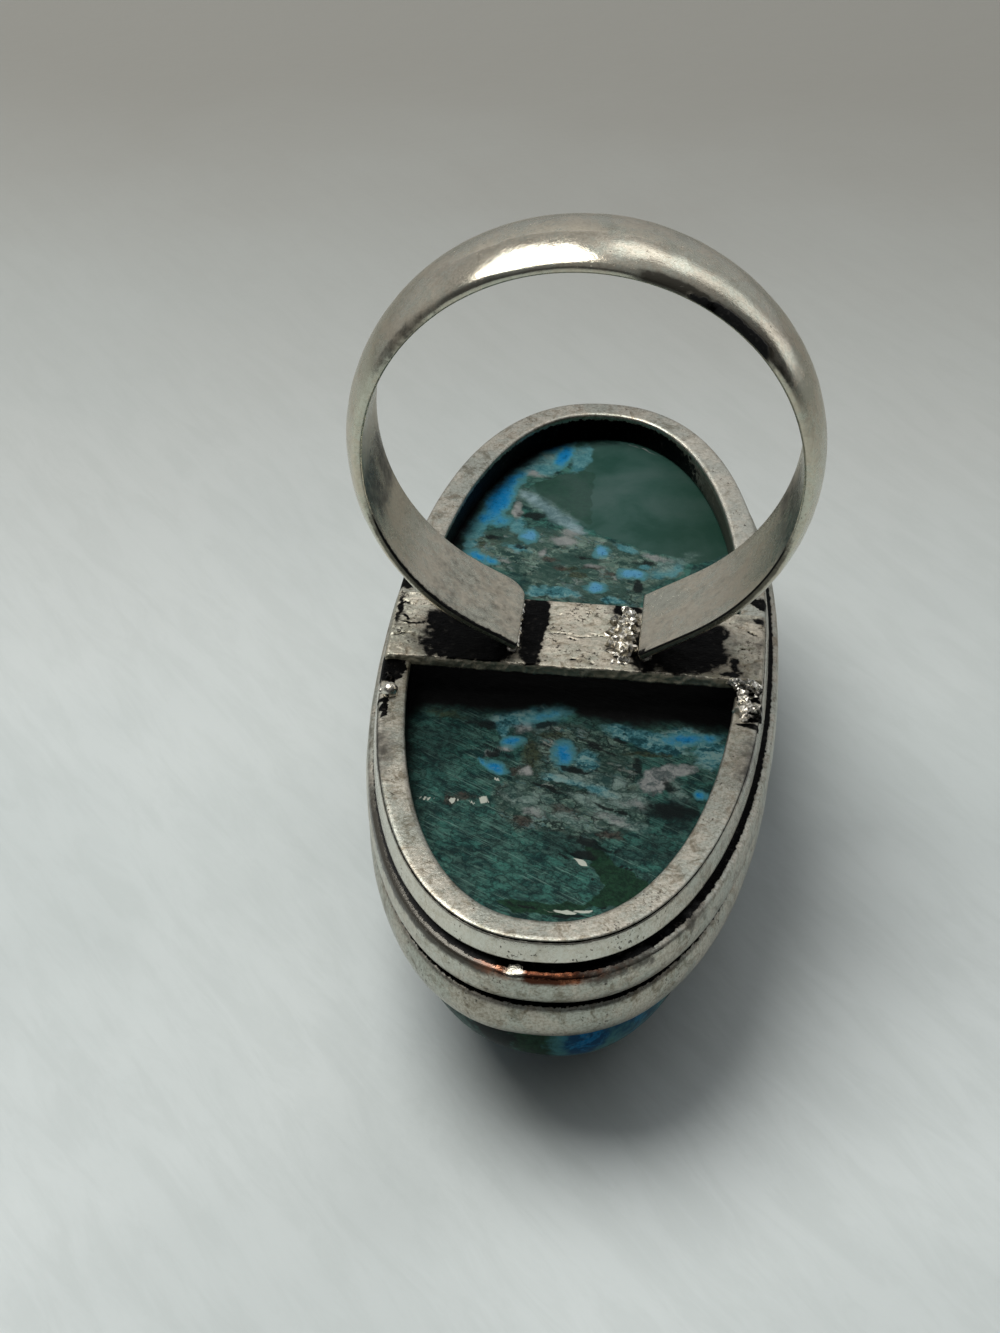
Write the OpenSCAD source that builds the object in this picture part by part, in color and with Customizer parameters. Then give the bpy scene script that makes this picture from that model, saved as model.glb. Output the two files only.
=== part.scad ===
// Open-backed statement ring: a soldered metal mount that holds one long domed stone.
// X runs across the setting, Y along it and along the finger, Z up.
// The ring lies on its stone, crown at the origin, with the finger band standing on top.

/* [Finger band] */
// Inside diameter of the band
finger_d = 18.6; // [17.8:0.1:19]
// Width of the band along the finger
band_w = 4.7; // [4:0.1:5]
// Thickness of the band at its two edges
band_edge = 0.35; // [0.3:0.05:0.5]
// Thickness of the band at its crowned middle
band_mid = 0.95; // [0.85:0.05:1.1]
// How far the tip of the left end is from the middle
tip_left = 2.5; // [2:0.1:3.2]
// How far the tip of the right end is from the middle
tip_right = 2.8; // [2:0.1:3.2]
// Length of the straight stretch before the left tip
straight_left = 2.1; // [1.5:0.1:3]
// Length of the straight stretch before the right tip
straight_right = 2.6; // [1.5:0.1:3]
// Radius that the left end's far corner is filed to
corner_r = 1; // [0.5:0.1:1.5]
// Clear height from the back rim to the inside of the band at its lowest
band_lift = 0.95; // [0.85:0.05:1.05]
// How far along the setting the band sits from its middle
band_y = -0.35; // [-0.5:0.05:0]

/* [Setting] */
// Width across the flat back rim
rim_w = 16.9; // [16:0.1:18]
// Length of the flat back rim
rim_l = 41; // [38:0.5:43]
// Squareness of the oval: 2 is an ellipse and more is fuller at the corners
oval_power = 2.28; // [2.1:0.02:2.5]
// Width of the flat rim round the open back
rim_face = 1.2; // [1:0.05:1.4]
// Depth of the rim, from its face to the back of the stone
rim_t = 1.4; // [1.2:0.1:1.8]
// Height of the wall from the back rim to the rolled lip
wall_h = 5.2; // [4.9:0.1:5.6]

/* [Bridge] */
// Width of the strip that crosses the open back
bridge_w = 5.1; // [4.8:0.1:6]
// Thickness of the strip
bridge_t = 0.55; // [0.45:0.05:0.7]
// How deep the strip is let into the rim
bridge_in = 0.25; // [0.2:0.05:0.3]
// How far along the setting the strip sits from its middle
bridge_y = -0.45; // [-0.6:0.05:0]

/* [Stone] */
// Height of the dome below the rolled lip
dome_h = 5.6; // [5:0.1:7]
// Fullness of the dome: 2 is round and more has steeper sides and a flatter crown
dome_power = 2.6; // [2.3:0.1:3]
// Gap between the stone and the metal
stone_gap = 0.1; // [0.05:0.01:0.15]

/* [Hidden] */
$fn = 96;

rim_z = wall_h + dome_h;           // height of the flat back rim
band_r = finger_d / 2;
band_z = rim_z + band_lift + band_r; // height of the band's axis
bridge_top = rim_z - bridge_in + bridge_t;
around = 112;                      // straight steps round the oval
dome_steps = 15;                   // rings of the dome
grip = 0.12;                       // how far the lip closes over the stone's widest line
slot_t = 0.4;                      // metal left beside the stone
seam_r = 0.45;                     // solder seam under each end of the band

// The wall's outside, from the back rim to the lip, as rows of
// [outward from the rim's outer edge, share of the wall's height below the rim].
WALL_OUTSIDE = [
  [-0.06, 0],       // chamfer of the rim
  [0, 0.015],
  [0.19, 0.198],    // first band, flaring
  [0.02, 0.21],     // wide groove
  [0.02, 0.26],
  [0.40, 0.269],    // half-round wire
  [0.57, 0.335],
  [0.62, 0.42],
  [0.57, 0.505],
  [0.42, 0.573],
  [0.16, 0.586],    // narrow groove
  [0.16, 0.608],
  [0.43, 0.621],    // rolled lip
  [0.53, 0.74],
  [0.48, 0.84],
  [0.28, 0.93],
  [0, 0.985],
  [-0.3, 1]
];

// Solder lumps as rows of [x, y, height of the centre over the rim, radius].
SOLDER = [
  [-7.75, -5.35, 0.06, 0.36], // ball on the left rim
  [-7.9, -3.2, -0.12, 0.5],  // beside the bridge, left
  [7.7, -3.2, -0.05, 0.6],   // beside the bridge, right
  [8.0, -4.1, -0.2, 0.55],
  [7.6, -4.8, -0.25, 0.55],
  [2.2, -1.6, 0.12, 0.62],   // against the band's right tip
  [1.9, -0.2, 0.05, 0.75],
  [2.1, 1.1, 0.1, 0.65]
];

function signed_power(v, p) = sign(v) * pow(abs(v), p);
function oval_point(t) = [
  rim_w / 2 * signed_power(cos(t), 2 / oval_power),
  rim_l / 2 * signed_power(sin(t), 2 / oval_power)
];
OVAL = [for (i = [0 : around - 1]) oval_point(360 * (i + 0.5) / around)];
function unit(v) = v / norm(v);
function outward(i) = // the way that the edge after point i faces
  let (edge = OVAL[(i + 1) % around] - OVAL[i]) unit([edge[1], -edge[0]]);
function miter(i) =
  let (a = outward((i + around - 1) % around), b = outward(i)) (a + b) / (1 + a * b);
MITERS = [for (i = [0 : around - 1]) miter(i)];
function oval(grow) = [for (i = [0 : around - 1]) OVAL[i] + grow * MITERS[i]];
function level(points, z) = [for (p = points) [p[0], p[1], z]];
function merge(rows) = [for (row = rows) for (item = row) item];

// Joins level k to the next one with flat four-sided faces.
function skirt(k, next) = [
  for (i = [0 : around - 1]) let (j = (i + 1) % around)
    [k * around + i, k * around + j, next * around + j, next * around + i]
];

// A closed ring of metal: the section's points go once round it.
module swept_ring(section) {
  count = len(section);
  polyhedron(
    points = merge([for (p = section) level(oval(p[0]), rim_z - p[1])]),
    faces = merge([for (k = [0 : count - 1]) skirt(k, (k + 1) % count)])
  );
}

// A closed body: levels from the top one down, with both end levels flat.
module stacked_body(levels) {
  last = len(levels) - 1;
  polyhedron(
    points = merge(levels),
    faces = concat(
      merge([for (k = [0 : last - 1]) skirt(k, k + 1)]),
      [[for (i = [around - 1 : -1 : 0]) i]],
      [[for (i = [0 : around - 1]) last * around + i]]
    )
  );
}

module setting_wall() {
  tip_in = -slot_t - stone_gap - grip;
  swept_ring(concat(
    [for (row = WALL_OUTSIDE) [row[0], row[1] * wall_h]],
    [
      [tip_in + 0.05, wall_h - 0.06],
      [tip_in, wall_h - 0.18],
      [-slot_t, wall_h - 0.75],
      [-slot_t, rim_t],
      [-rim_face, rim_t],
      [-rim_face, 0.06],
      [-rim_face + 0.06, 0]
    ]
  ));
}

// D-shaped section of the band: flat inside at radius band_r, crowned outside.
module band_section() {
  crown = band_mid - band_edge;
  crown_r = (pow(band_w / 2, 2) + crown * crown) / (2 * crown);
  intersection() {
    translate([band_r, -band_w / 2]) square([band_mid, band_w]);
    translate([band_r + band_mid - crown_r, 0]) circle(crown_r);
  }
}

// Angle from straight down at which the band turns from round to straight.
function bend_angle(tip, straight) =
  asin(tip / norm([band_r, straight])) + atan(straight / band_r);

// Straight end of the band, from its bend to its tip, in the frame of its bend.
module band_end(straight, side, lap = 0) {
  rotate([side * 90, 0, 0]) translate([0, 0, -lap]) linear_extrude(straight + lap) band_section();
}

module band() {
  left = bend_angle(tip_left, straight_left);
  right = bend_angle(tip_right, straight_right);
  sweep = 360 - left - right;
  translate([0, band_y, band_z]) rotate([90, 0, 0]) rotate(right - 90) {
    rotate_extrude(angle = sweep) band_section();
    band_end(straight_right, 1);
    rotate(sweep) difference() {
      band_end(straight_left, -1, lap = 0.3);
      filed_corner();
    }
  }
}

// What is filed off the left end's far corner, in the frame of its bend.
module filed_corner() {
  translate([band_r - 1, straight_left - corner_r, corner_r - band_w / 2]) rotate([0, 90, 0])
    linear_extrude(3) difference() {
      square(2 * corner_r);
      circle(corner_r);
    }
}

module bridge() {
  intersection() {
    translate([0, 0, rim_z - bridge_in]) linear_extrude(bridge_t) polygon(oval(-0.05));
    translate([-rim_w, bridge_y - bridge_w / 2, rim_z - 1]) cube([2 * rim_w, bridge_w, 2]);
  }
}

// Lumps, and a seam of solder under the crown of each end of the band.
module solder() {
  for (row = SOLDER) translate([row[0], row[1], rim_z + row[2]]) sphere(row[3]);
  for (x = [-tip_left - seam_r, tip_right + seam_r])
    translate([x, band_y, bridge_top]) rotate([90, 0, 0]) cylinder(r = seam_r, h = band_w * 0.7, center = true);
}

// Soldered metal: band, bridge, open-backed wall and solder are one solid.
module ring_mount() {
  color("silver") {
    setting_wall();
    bridge();
    band();
    solder();
  }
}

module stone() {
  side = -slot_t - stone_gap;
  shoulder = wall_h - 0.15;
  drop = rim_z - shoulder;
  girdle = oval(side - grip - stone_gap);
  dome = [
    for (k = [0 : dome_steps - 1]) let (
      a = 84 * k / (dome_steps - 1),
      shrink = pow(cos(a), 2 / dome_power),
      rise = pow(sin(a) / sin(84), 2 / dome_power)
    ) level(shrink * girdle, rim_z - shoulder - drop * rise)
  ];
  color("teal") stacked_body(concat(
    [
      level(oval(side), rim_z - rim_t - stone_gap),
      level(oval(side), rim_z - wall_h + 0.85)
    ],
    dome
  ));
}

ring_mount();
stone();
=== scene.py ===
import math
from functools import partial

import bmesh
import bpy
import numpy as np
from mathutils import Matrix, Vector, noise


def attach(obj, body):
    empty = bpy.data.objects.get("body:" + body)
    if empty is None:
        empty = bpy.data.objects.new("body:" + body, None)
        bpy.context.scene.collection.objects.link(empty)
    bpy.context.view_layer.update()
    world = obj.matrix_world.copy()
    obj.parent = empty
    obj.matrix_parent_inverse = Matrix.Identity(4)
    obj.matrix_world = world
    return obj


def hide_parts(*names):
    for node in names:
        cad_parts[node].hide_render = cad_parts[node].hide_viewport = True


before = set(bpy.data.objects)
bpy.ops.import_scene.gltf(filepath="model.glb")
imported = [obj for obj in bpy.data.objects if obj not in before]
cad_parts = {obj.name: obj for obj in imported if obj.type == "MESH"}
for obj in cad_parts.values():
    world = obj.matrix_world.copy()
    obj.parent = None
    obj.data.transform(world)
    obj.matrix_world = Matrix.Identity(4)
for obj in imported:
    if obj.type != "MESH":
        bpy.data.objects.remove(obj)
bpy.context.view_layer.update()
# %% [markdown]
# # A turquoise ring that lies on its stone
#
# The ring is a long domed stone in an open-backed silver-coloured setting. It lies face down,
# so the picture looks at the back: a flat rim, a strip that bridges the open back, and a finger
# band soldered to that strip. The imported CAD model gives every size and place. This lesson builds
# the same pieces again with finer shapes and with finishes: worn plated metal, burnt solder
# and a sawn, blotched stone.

# %% [markdown]
# ## Sizes
#
# All lengths are written in millimetres, as in the part's source, and become metres only when a
# mesh is made. The setting is a superellipse: an oval with slightly fuller corners than an
# ellipse. X runs across the setting, Y along it, and Z up.

# %% Sizes, in millimetres
MM = 0.001
RIM_W, RIM_L, SQUARENESS = 16.9, 41.0, 2.28
WALL_H, DOME_H = 5.2, 5.6
RIM_Z, RIM_T = WALL_H + DOME_H, 1.4
BAND_R, BAND_W, BAND_EDGE, BAND_MID, BAND_LIFT = 9.3, 4.7, 0.35, 0.95, 0.95
BAND_Y, BAND_Z = -0.35, RIM_Z + BAND_LIFT + BAND_R
TIP_LEFT, TIP_RIGHT = 2.5, 2.8
STRAIGHT_LEFT, STRAIGHT_RIGHT, CORNER_R = 2.1, 2.6, 1.0
BRIDGE_W, BRIDGE_Y, BRIDGE_LOW, BRIDGE_TOP = 5.1, -0.45, RIM_Z - 0.25, RIM_Z + 0.3
SLOT_T, STONE_GAP, GRIP = 0.4, 0.1, 0.12
STONE_BACK = RIM_Z - RIM_T - STONE_GAP
print("rim at", RIM_Z, "mm, band axis at", round(BAND_Z, 2), "mm, stone back at", STONE_BACK, "mm")

# %% [markdown]
# ## Mesh helpers
#
# Most pieces here are tubes: closed loops of points, one after another. One helper joins such
# loops with four-sided faces, and another turns points and faces into an object at the origin, so
# that each piece's place is in its mesh.

# %% Helpers that make meshes
def tube_faces(rings, size):
    """Four-sided faces that join rings of points, each a closed loop, into an open-ended tube."""
    faces = []
    for start in range(0, (rings - 1) * size, size):
        for here in range(size):
            after = (here + 1) % size
            faces.append((start + here, start + after, start + size + after, start + size + here))
    return faces


def capped_faces(rings, size):
    """The faces of such a tube, with both its ends closed."""
    ends = [tuple(range(size))[::-1], tuple(range((rings - 1) * size, rings * size))]
    return tube_faces(rings, size) + ends


def add_object(name, data):
    """An object at the origin that holds a mesh, a light or a camera."""
    made = bpy.data.objects.new(name, data)
    bpy.context.scene.collection.objects.link(made)
    return made


def make_piece(name, points, faces, finish):
    """An object at the origin from points in millimetres, with its faces turned outwards."""
    mesh = bpy.data.meshes.new(name)
    mesh.from_pydata([tuple(p) for p in np.asarray(points, float) * MM], [], faces)
    turn_outwards(mesh)
    mesh.shade_smooth()
    mesh.materials.append(finish)
    print(f"{name}: {len(mesh.vertices)} points, {len(mesh.polygons)} faces")
    return add_object(name, mesh)


def turn_outwards(mesh):
    """Merges points that share a place, then makes all normals face out of the solid."""
    work = bmesh.new()
    work.from_mesh(mesh)
    bmesh.ops.remove_doubles(work, verts=work.verts, dist=1e-8)
    bmesh.ops.recalc_face_normals(work, faces=work.faces)
    if work.calc_volume(signed=True) < 0:
        bmesh.ops.reverse_faces(work, faces=work.faces)
    work.to_mesh(mesh)
    work.free()


print("a closed tube of 3 loops of 4 points has", len(capped_faces(3, 4)), "faces")

# %% Helpers that read and write a mesh's points and numbers
def points_of(mesh):
    """The mesh's points as rows of x, y, z in millimetres."""
    flat = np.zeros(len(mesh.vertices) * 3)
    mesh.vertices.foreach_get("co", flat)
    return flat.reshape(-1, 3) / MM


def set_points(mesh, points):
    """Moves the mesh's points to rows of x, y, z in millimetres."""
    mesh.vertices.foreach_set("co", (np.asarray(points) * MM).ravel())
    mesh.update()


def store(mesh, name, values):
    """Keeps one number per point on the mesh, for its finish to read."""
    layer = mesh.attributes.get(name) or mesh.attributes.new(name, "FLOAT", "POINT")
    layer.data.foreach_set("value", np.asarray(values, float))


def stored(mesh, name):
    """The numbers that the mesh keeps under a name."""
    values = np.zeros(len(mesh.vertices))
    mesh.attributes[name].data.foreach_get("value", values)
    return values


MESH_HELPERS = (points_of, set_points, store, stored)
print("mesh helpers:", ", ".join(helper.__name__ for helper in MESH_HELPERS))

# %% [markdown]
# ## Irregularity
#
# The ring is cast and filed by hand, so no edge is perfectly even. Smooth noise, sampled at each
# point, moves surfaces by a few hundredths of a millimetre. The same helper makes the edges of
# charted marks wander. Two steps, one rising and one falling, limit a mark to a part of a piece.

# %% Noise and charts
def waver(points, size, seed=0.0, octaves=3):
    """Smooth noise from about -1 to 1 at each point; size is the width of a wave in mm."""
    shift = Vector((seed * 7.31, seed * 3.17, seed * 5.73))
    return np.array([
        noise.fractal(Vector(p) / size + shift, 0.6, 2.0, octaves) for p in np.asarray(points)
    ])


def chart(points, rows, wander=0.25, size=0.8, seed=1.0):
    """How deep each point lies in the charted patches: 1 at a centre, 0 on an edge, down to -1.
    Each row is [x, y, half length, half width, turn in degrees, strength]."""
    x, y = points[:, 0], points[:, 1]
    if wander:
        x, y = x + wander * waver(points, size, seed), y + wander * waver(points, size, seed + 11)
    best = np.full(len(points), -1.0)
    for cx, cy, along, across, turn, strength in rows:
        c, s = math.cos(math.radians(turn)), math.sin(math.radians(turn))
        u = ((x - cx) * c + (y - cy) * s) / along
        v = ((y - cy) * c - (x - cx) * s) / across
        best = np.maximum(best, strength * (1 - np.hypot(u, v)))
    return np.clip(best, -1, 1.5)


def smooth(value, low, high):
    """0 below low, 1 above high, and an even curve between."""
    t = np.clip((np.asarray(value, float) - low) / (high - low), 0, 1)
    return t * t * (3 - 2 * t)


def fade(value, low, high):
    """1 below low, 0 above high, and an even curve between."""
    return smooth(-np.asarray(value, float), -high, -low)


def oval(steps, grow=0.0):
    """Evenly spaced points (x, y) round the setting's oval, moved outwards by grow."""
    samples = 40000
    t = np.linspace(0, 2 * np.pi, samples, endpoint=False)
    power = 2 / SQUARENESS
    x = RIM_W / 2 * np.sign(np.cos(t)) * np.abs(np.cos(t)) ** power
    y = RIM_L / 2 * np.sign(np.sin(t)) * np.abs(np.sin(t)) ** power
    run = np.concatenate([[0], np.cumsum(np.hypot(np.diff(x), np.diff(y)))])
    even = np.linspace(0, run[-1], steps, endpoint=False)
    line = np.c_[np.interp(even, run, x), np.interp(even, run, y)]
    edge = np.roll(line, -1, 0) - np.roll(line, 1, 0)
    edge /= np.linalg.norm(edge, axis=1)[:, None]
    return line + grow * np.c_[edge[:, 1], -edge[:, 0]]


print("oval, mm:", np.ptp(oval(400), axis=0).round(2))

# %% [markdown]
# ## Shader helpers
#
# A finish is a small network of nodes. These helpers place a node, set or link its inputs, and
# return the socket that carries the result, so that a finish reads almost like a formula.

# %% Helpers that place nodes
def put(tree, kind, values=None, **settings):
    """Adds a node. Each value sets the input of that name or number, or links to it."""
    made = tree.nodes.new(kind)
    for name, value in settings.items():
        setattr(made, name, value)
    for key, value in (values or {}).items():
        if isinstance(value, bpy.types.NodeSocket):
            tree.links.new(value, made.inputs[key])
        else:
            made.inputs[key].default_value = value
    return made


def calc(tree, operation, a, b=0.0, clamp=False):
    """A sum, a product or another step of arithmetic."""
    return put(tree, "ShaderNodeMath", {0: a, 1: b}, operation=operation, use_clamp=clamp).outputs[0]


def ease(tree, value, low, high, to_low=0.0, to_high=1.0):
    """Turns a value between low and high into a smooth step between two others."""
    rows = {"Value": value, "From Min": low, "From Max": high, "To Min": to_low, "To Max": to_high}
    return put(tree, "ShaderNodeMapRange", rows, interpolation_type="SMOOTHSTEP").outputs[0]


def tint(tree, amount, below, above, mode="MIX"):
    """Mixes two colours by an amount."""
    rows = {0: amount, 6: colour(below), 7: colour(above)}
    return put(tree, "ShaderNodeMix", rows, data_type="RGBA", blend_type=mode).outputs[2]


def colour(value):
    """A triple becomes a full colour; a socket stays as it is."""
    return (*value, 1.0) if isinstance(value, tuple) and len(value) == 3 else value


def cloud(tree, place, scale, detail=3.0, rough=0.55, distortion=0.0):
    """Cloudy noise, from 0 to 1 and mostly near a half."""
    rows = {"Vector": place, "Scale": scale, "Detail": detail, "Roughness": rough,
            "Distortion": distortion}
    return put(tree, "ShaderNodeTexNoise", rows).outputs[0]


def stretched(tree, place, scale, turn=0.0):
    """The place, turned by an angle in degrees and then squeezed per axis, for streaks."""
    rows = {"Vector": place, "Rotation": (0, 0, math.radians(turn)),
            "Scale": tuple(1 / v for v in scale)}
    return put(tree, "ShaderNodeMapping", rows, vector_type="TEXTURE").outputs[0]


def mark(tree, name):
    """A number that is kept at each point of the mesh."""
    return put(tree, "ShaderNodeAttribute", attribute_name=name).outputs["Fac"]


def new_finish(name):
    """A new material: its tree, its shader, and Object coordinates in millimetres."""
    finish = bpy.data.materials.new(name)
    finish.use_nodes = True
    tree = finish.node_tree
    shader = tree.nodes["Principled BSDF"]
    raw = put(tree, "ShaderNodeTexCoord").outputs["Object"]
    place = put(tree, "ShaderNodeMapping", {"Vector": raw, "Scale": (1000, 1000, 1000)}).outputs[0]
    return finish, tree, shader, place


def join(tree, value, socket):
    """Links a result to an input."""
    tree.links.new(value, socket)


def emboss(tree, shader, height, strength, distance):
    """Turns a height from 0 to 1 into bumps of the surface, at most distance millimetres high."""
    rows = {"Strength": strength, "Distance": distance * MM, "Height": height}
    join(tree, put(tree, "ShaderNodeBump", rows).outputs[0], shader.inputs["Normal"])


NODE_HELPERS = (put, calc, ease, tint, cloud, stretched, mark, new_finish, join, emboss)
print("node helpers:", ", ".join(helper.__name__ for helper in NODE_HELPERS))

# %% [markdown]
# ## Shared effects
#
# Five effects are used more than once, so each is a node group that is built once.
# *Scuffs* are the fine filing and polishing lines of worn metal. *Mottle* is the colour of worn
# plating: it drifts from greenish grey to a pinkish one, with a fine grain and darker stains.
# *Specks* are small dark pits that gather in drifts. *Ragged mask* turns a smooth charted number
# into a mark with a torn edge and small islands round it. *Fragments* are the angular pieces,
# with dark cracks between them, that the stone is bound together from.

# %% An empty group
GREY = (0.5, 0.5, 0.5, 1)
SOCKETS = {float: "NodeSocketFloat", tuple: "NodeSocketColor", type(None): "NodeSocketVector"}


def new_group(name, inputs, outputs):
    """An empty shader group. What an input starts with says its kind, and None means a place."""
    group = bpy.data.node_groups.new(name, "ShaderNodeTree")
    for label, value in inputs.items():
        kind = SOCKETS[type(value)]
        socket = group.interface.new_socket(label, in_out="INPUT", socket_type=kind)
        if value is not None:
            socket.default_value = value
    for label in outputs:
        kind = SOCKETS[tuple if label == "Color" else float]
        group.interface.new_socket(label, in_out="OUTPUT", socket_type=kind)
    return group, put(group, "NodeGroupInput").outputs, put(group, "NodeGroupOutput").inputs


def use(tree, group, values):
    """Adds a node group and returns its outputs."""
    return put(tree, "ShaderNodeGroup", values, node_tree=group).outputs


print("kinds of input:", list(SOCKETS.values()))

# %% Scuffs and specks
def build_scuffs():
    """Fine lines in three directions, as a height."""
    group, given, out = new_group("Scuffs", {"Place": None, "Fineness": 1.0}, ["Height"])
    total = 0.0
    ways = ((12, (1.2, 16, 6), 0.5), (-38, (14, 1.4, 6), 0.3), (70, (18, 1, 8), 0.3))
    for turn, squeeze, part in ways:
        along = stretched(group, given["Place"], squeeze, turn)
        lines = cloud(group, along, given["Fineness"], 2.0, 0.7)
        total = calc(group, "ADD", total, calc(group, "MULTIPLY", lines, part))
    join(group, total, out["Height"])
    return group


def build_specks():
    """Small dark pits that gather in drifts."""
    group, given, out = new_group("Specks", {"Place": None, "Scale": 7.0, "Edge": 0.66}, ["Mask"])
    drift = ease(group, cloud(group, given["Place"], 0.7, 3.0), 0.38, 0.64, -0.07, 0.07)
    dots = calc(group, "ADD", cloud(group, given["Place"], given["Scale"], 3.0, 0.6), drift)
    high = calc(group, "ADD", given["Edge"], 0.06)
    join(group, ease(group, dots, given["Edge"], high), out["Mask"])
    return group


SCUFFS, SPECKS = build_scuffs(), build_specks()
print([(group.name, len(group.nodes)) for group in (SCUFFS, SPECKS)])

# %% Mottle
def build_mottle():
    """A colour that drifts over the metal, with a fine grain and darker stains."""
    inputs = {"Place": None, "Cool": GREY, "Warm": GREY, "Scale": 0.5, "Grain": 0.4, "Stain": 0.4}
    group, given, out = new_group("Mottle", inputs, ["Color", "Value"])
    place = given["Place"]
    slow = cloud(group, place, given["Scale"], 3.0, 0.6, 0.4)
    quick = cloud(group, place, calc(group, "MULTIPLY", given["Scale"], 7.0), 4.0, 0.7)
    both = calc(group, "ADD", calc(group, "MULTIPLY", slow, 0.6), calc(group, "MULTIPLY", quick, 0.4))
    shown = tint(group, ease(group, both, 0.42, 0.58), given["Cool"], given["Warm"])
    grains = ease(group, cloud(group, place, 8.0, 4.0, 0.75), 0.60, 0.36)
    grains = calc(group, "MULTIPLY", grains, given["Grain"])
    shown = tint(group, grains, shown, (0.42, 0.40, 0.35), "MULTIPLY")
    stains = ease(group, cloud(group, place, 1.3, 6.0, 0.7, 0.8), 0.48, 0.66)
    stains = calc(group, "MULTIPLY", stains, given["Stain"])
    shown = tint(group, stains, shown, (0.42, 0.37, 0.30), "MULTIPLY")
    join(group, shown, out["Color"])
    join(group, both, out["Value"])
    return group


MOTTLE = build_mottle()
print(MOTTLE.name, "has", len(MOTTLE.nodes), "nodes")

# %% Ragged mask
def build_ragged():
    """A mask from a smooth number, with a torn edge."""
    inputs = {"Place": None, "Value": 0.0, "Edge": 0.0, "Tear": 0.5, "Scale": 3.0, "Softness": 0.1}
    group, given, out = new_group("Ragged mask", inputs, ["Mask"])
    torn = calc(group, "SUBTRACT", cloud(group, given["Place"], given["Scale"], 5.0, 0.65, 0.3), 0.5)
    value = calc(group, "ADD", given["Value"], calc(group, "MULTIPLY", torn, given["Tear"]))
    high = calc(group, "ADD", given["Edge"], given["Softness"])
    join(group, ease(group, value, given["Edge"], high), out["Mask"])
    return group


RAGGED = build_ragged()


def torn_mask(tree, place, name, edge, tear, scale, softness):
    """The ragged mask of a number that the mesh keeps."""
    rows = {"Place": place, "Value": mark(tree, name), "Edge": edge, "Tear": tear,
            "Scale": scale, "Softness": softness}
    return use(tree, RAGGED, rows)["Mask"]


print(RAGGED.name, "has", len(RAGGED.nodes), "nodes")

# %% Fragments
def build_fragments():
    """Angular fragments: a random tone for each, and the cracks between them."""
    group, given, out = new_group("Fragments", {"Place": None, "Scale": 2.0}, ["Tone", "Crack"])
    bend = put(group, "ShaderNodeTexNoise", {
        "Vector": given["Place"], "Scale": 1.7, "Detail": 5.0, "Roughness": 0.68}).outputs["Color"]
    middle = {0: bend, 1: (0.5, 0.5, 0.5)}
    bend = put(group, "ShaderNodeVectorMath", middle, operation="SUBTRACT").outputs[0]
    bend = put(group, "ShaderNodeVectorMath", {0: bend, "Scale": 1.5}, operation="SCALE").outputs[0]
    lain = stretched(group, given["Place"], (1.0, 1.7, 1.0), -28)
    there = put(group, "ShaderNodeVectorMath", {0: lain, 1: bend}, operation="ADD").outputs[0]
    rows = {"Vector": there, "Scale": given["Scale"]}
    cells = put(group, "ShaderNodeTexVoronoi", rows, feature="F1").outputs["Color"]
    edges = put(group, "ShaderNodeTexVoronoi", rows, feature="DISTANCE_TO_EDGE").outputs["Distance"]
    join(group, put(group, "ShaderNodeSeparateColor", {0: cells}).outputs[0], out["Tone"])
    join(group, ease(group, edges, 0.15, 0.03), out["Crack"])
    return group


FRAGMENTS = build_fragments()
print("shared effects:", [group.name for group in bpy.data.node_groups])
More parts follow.
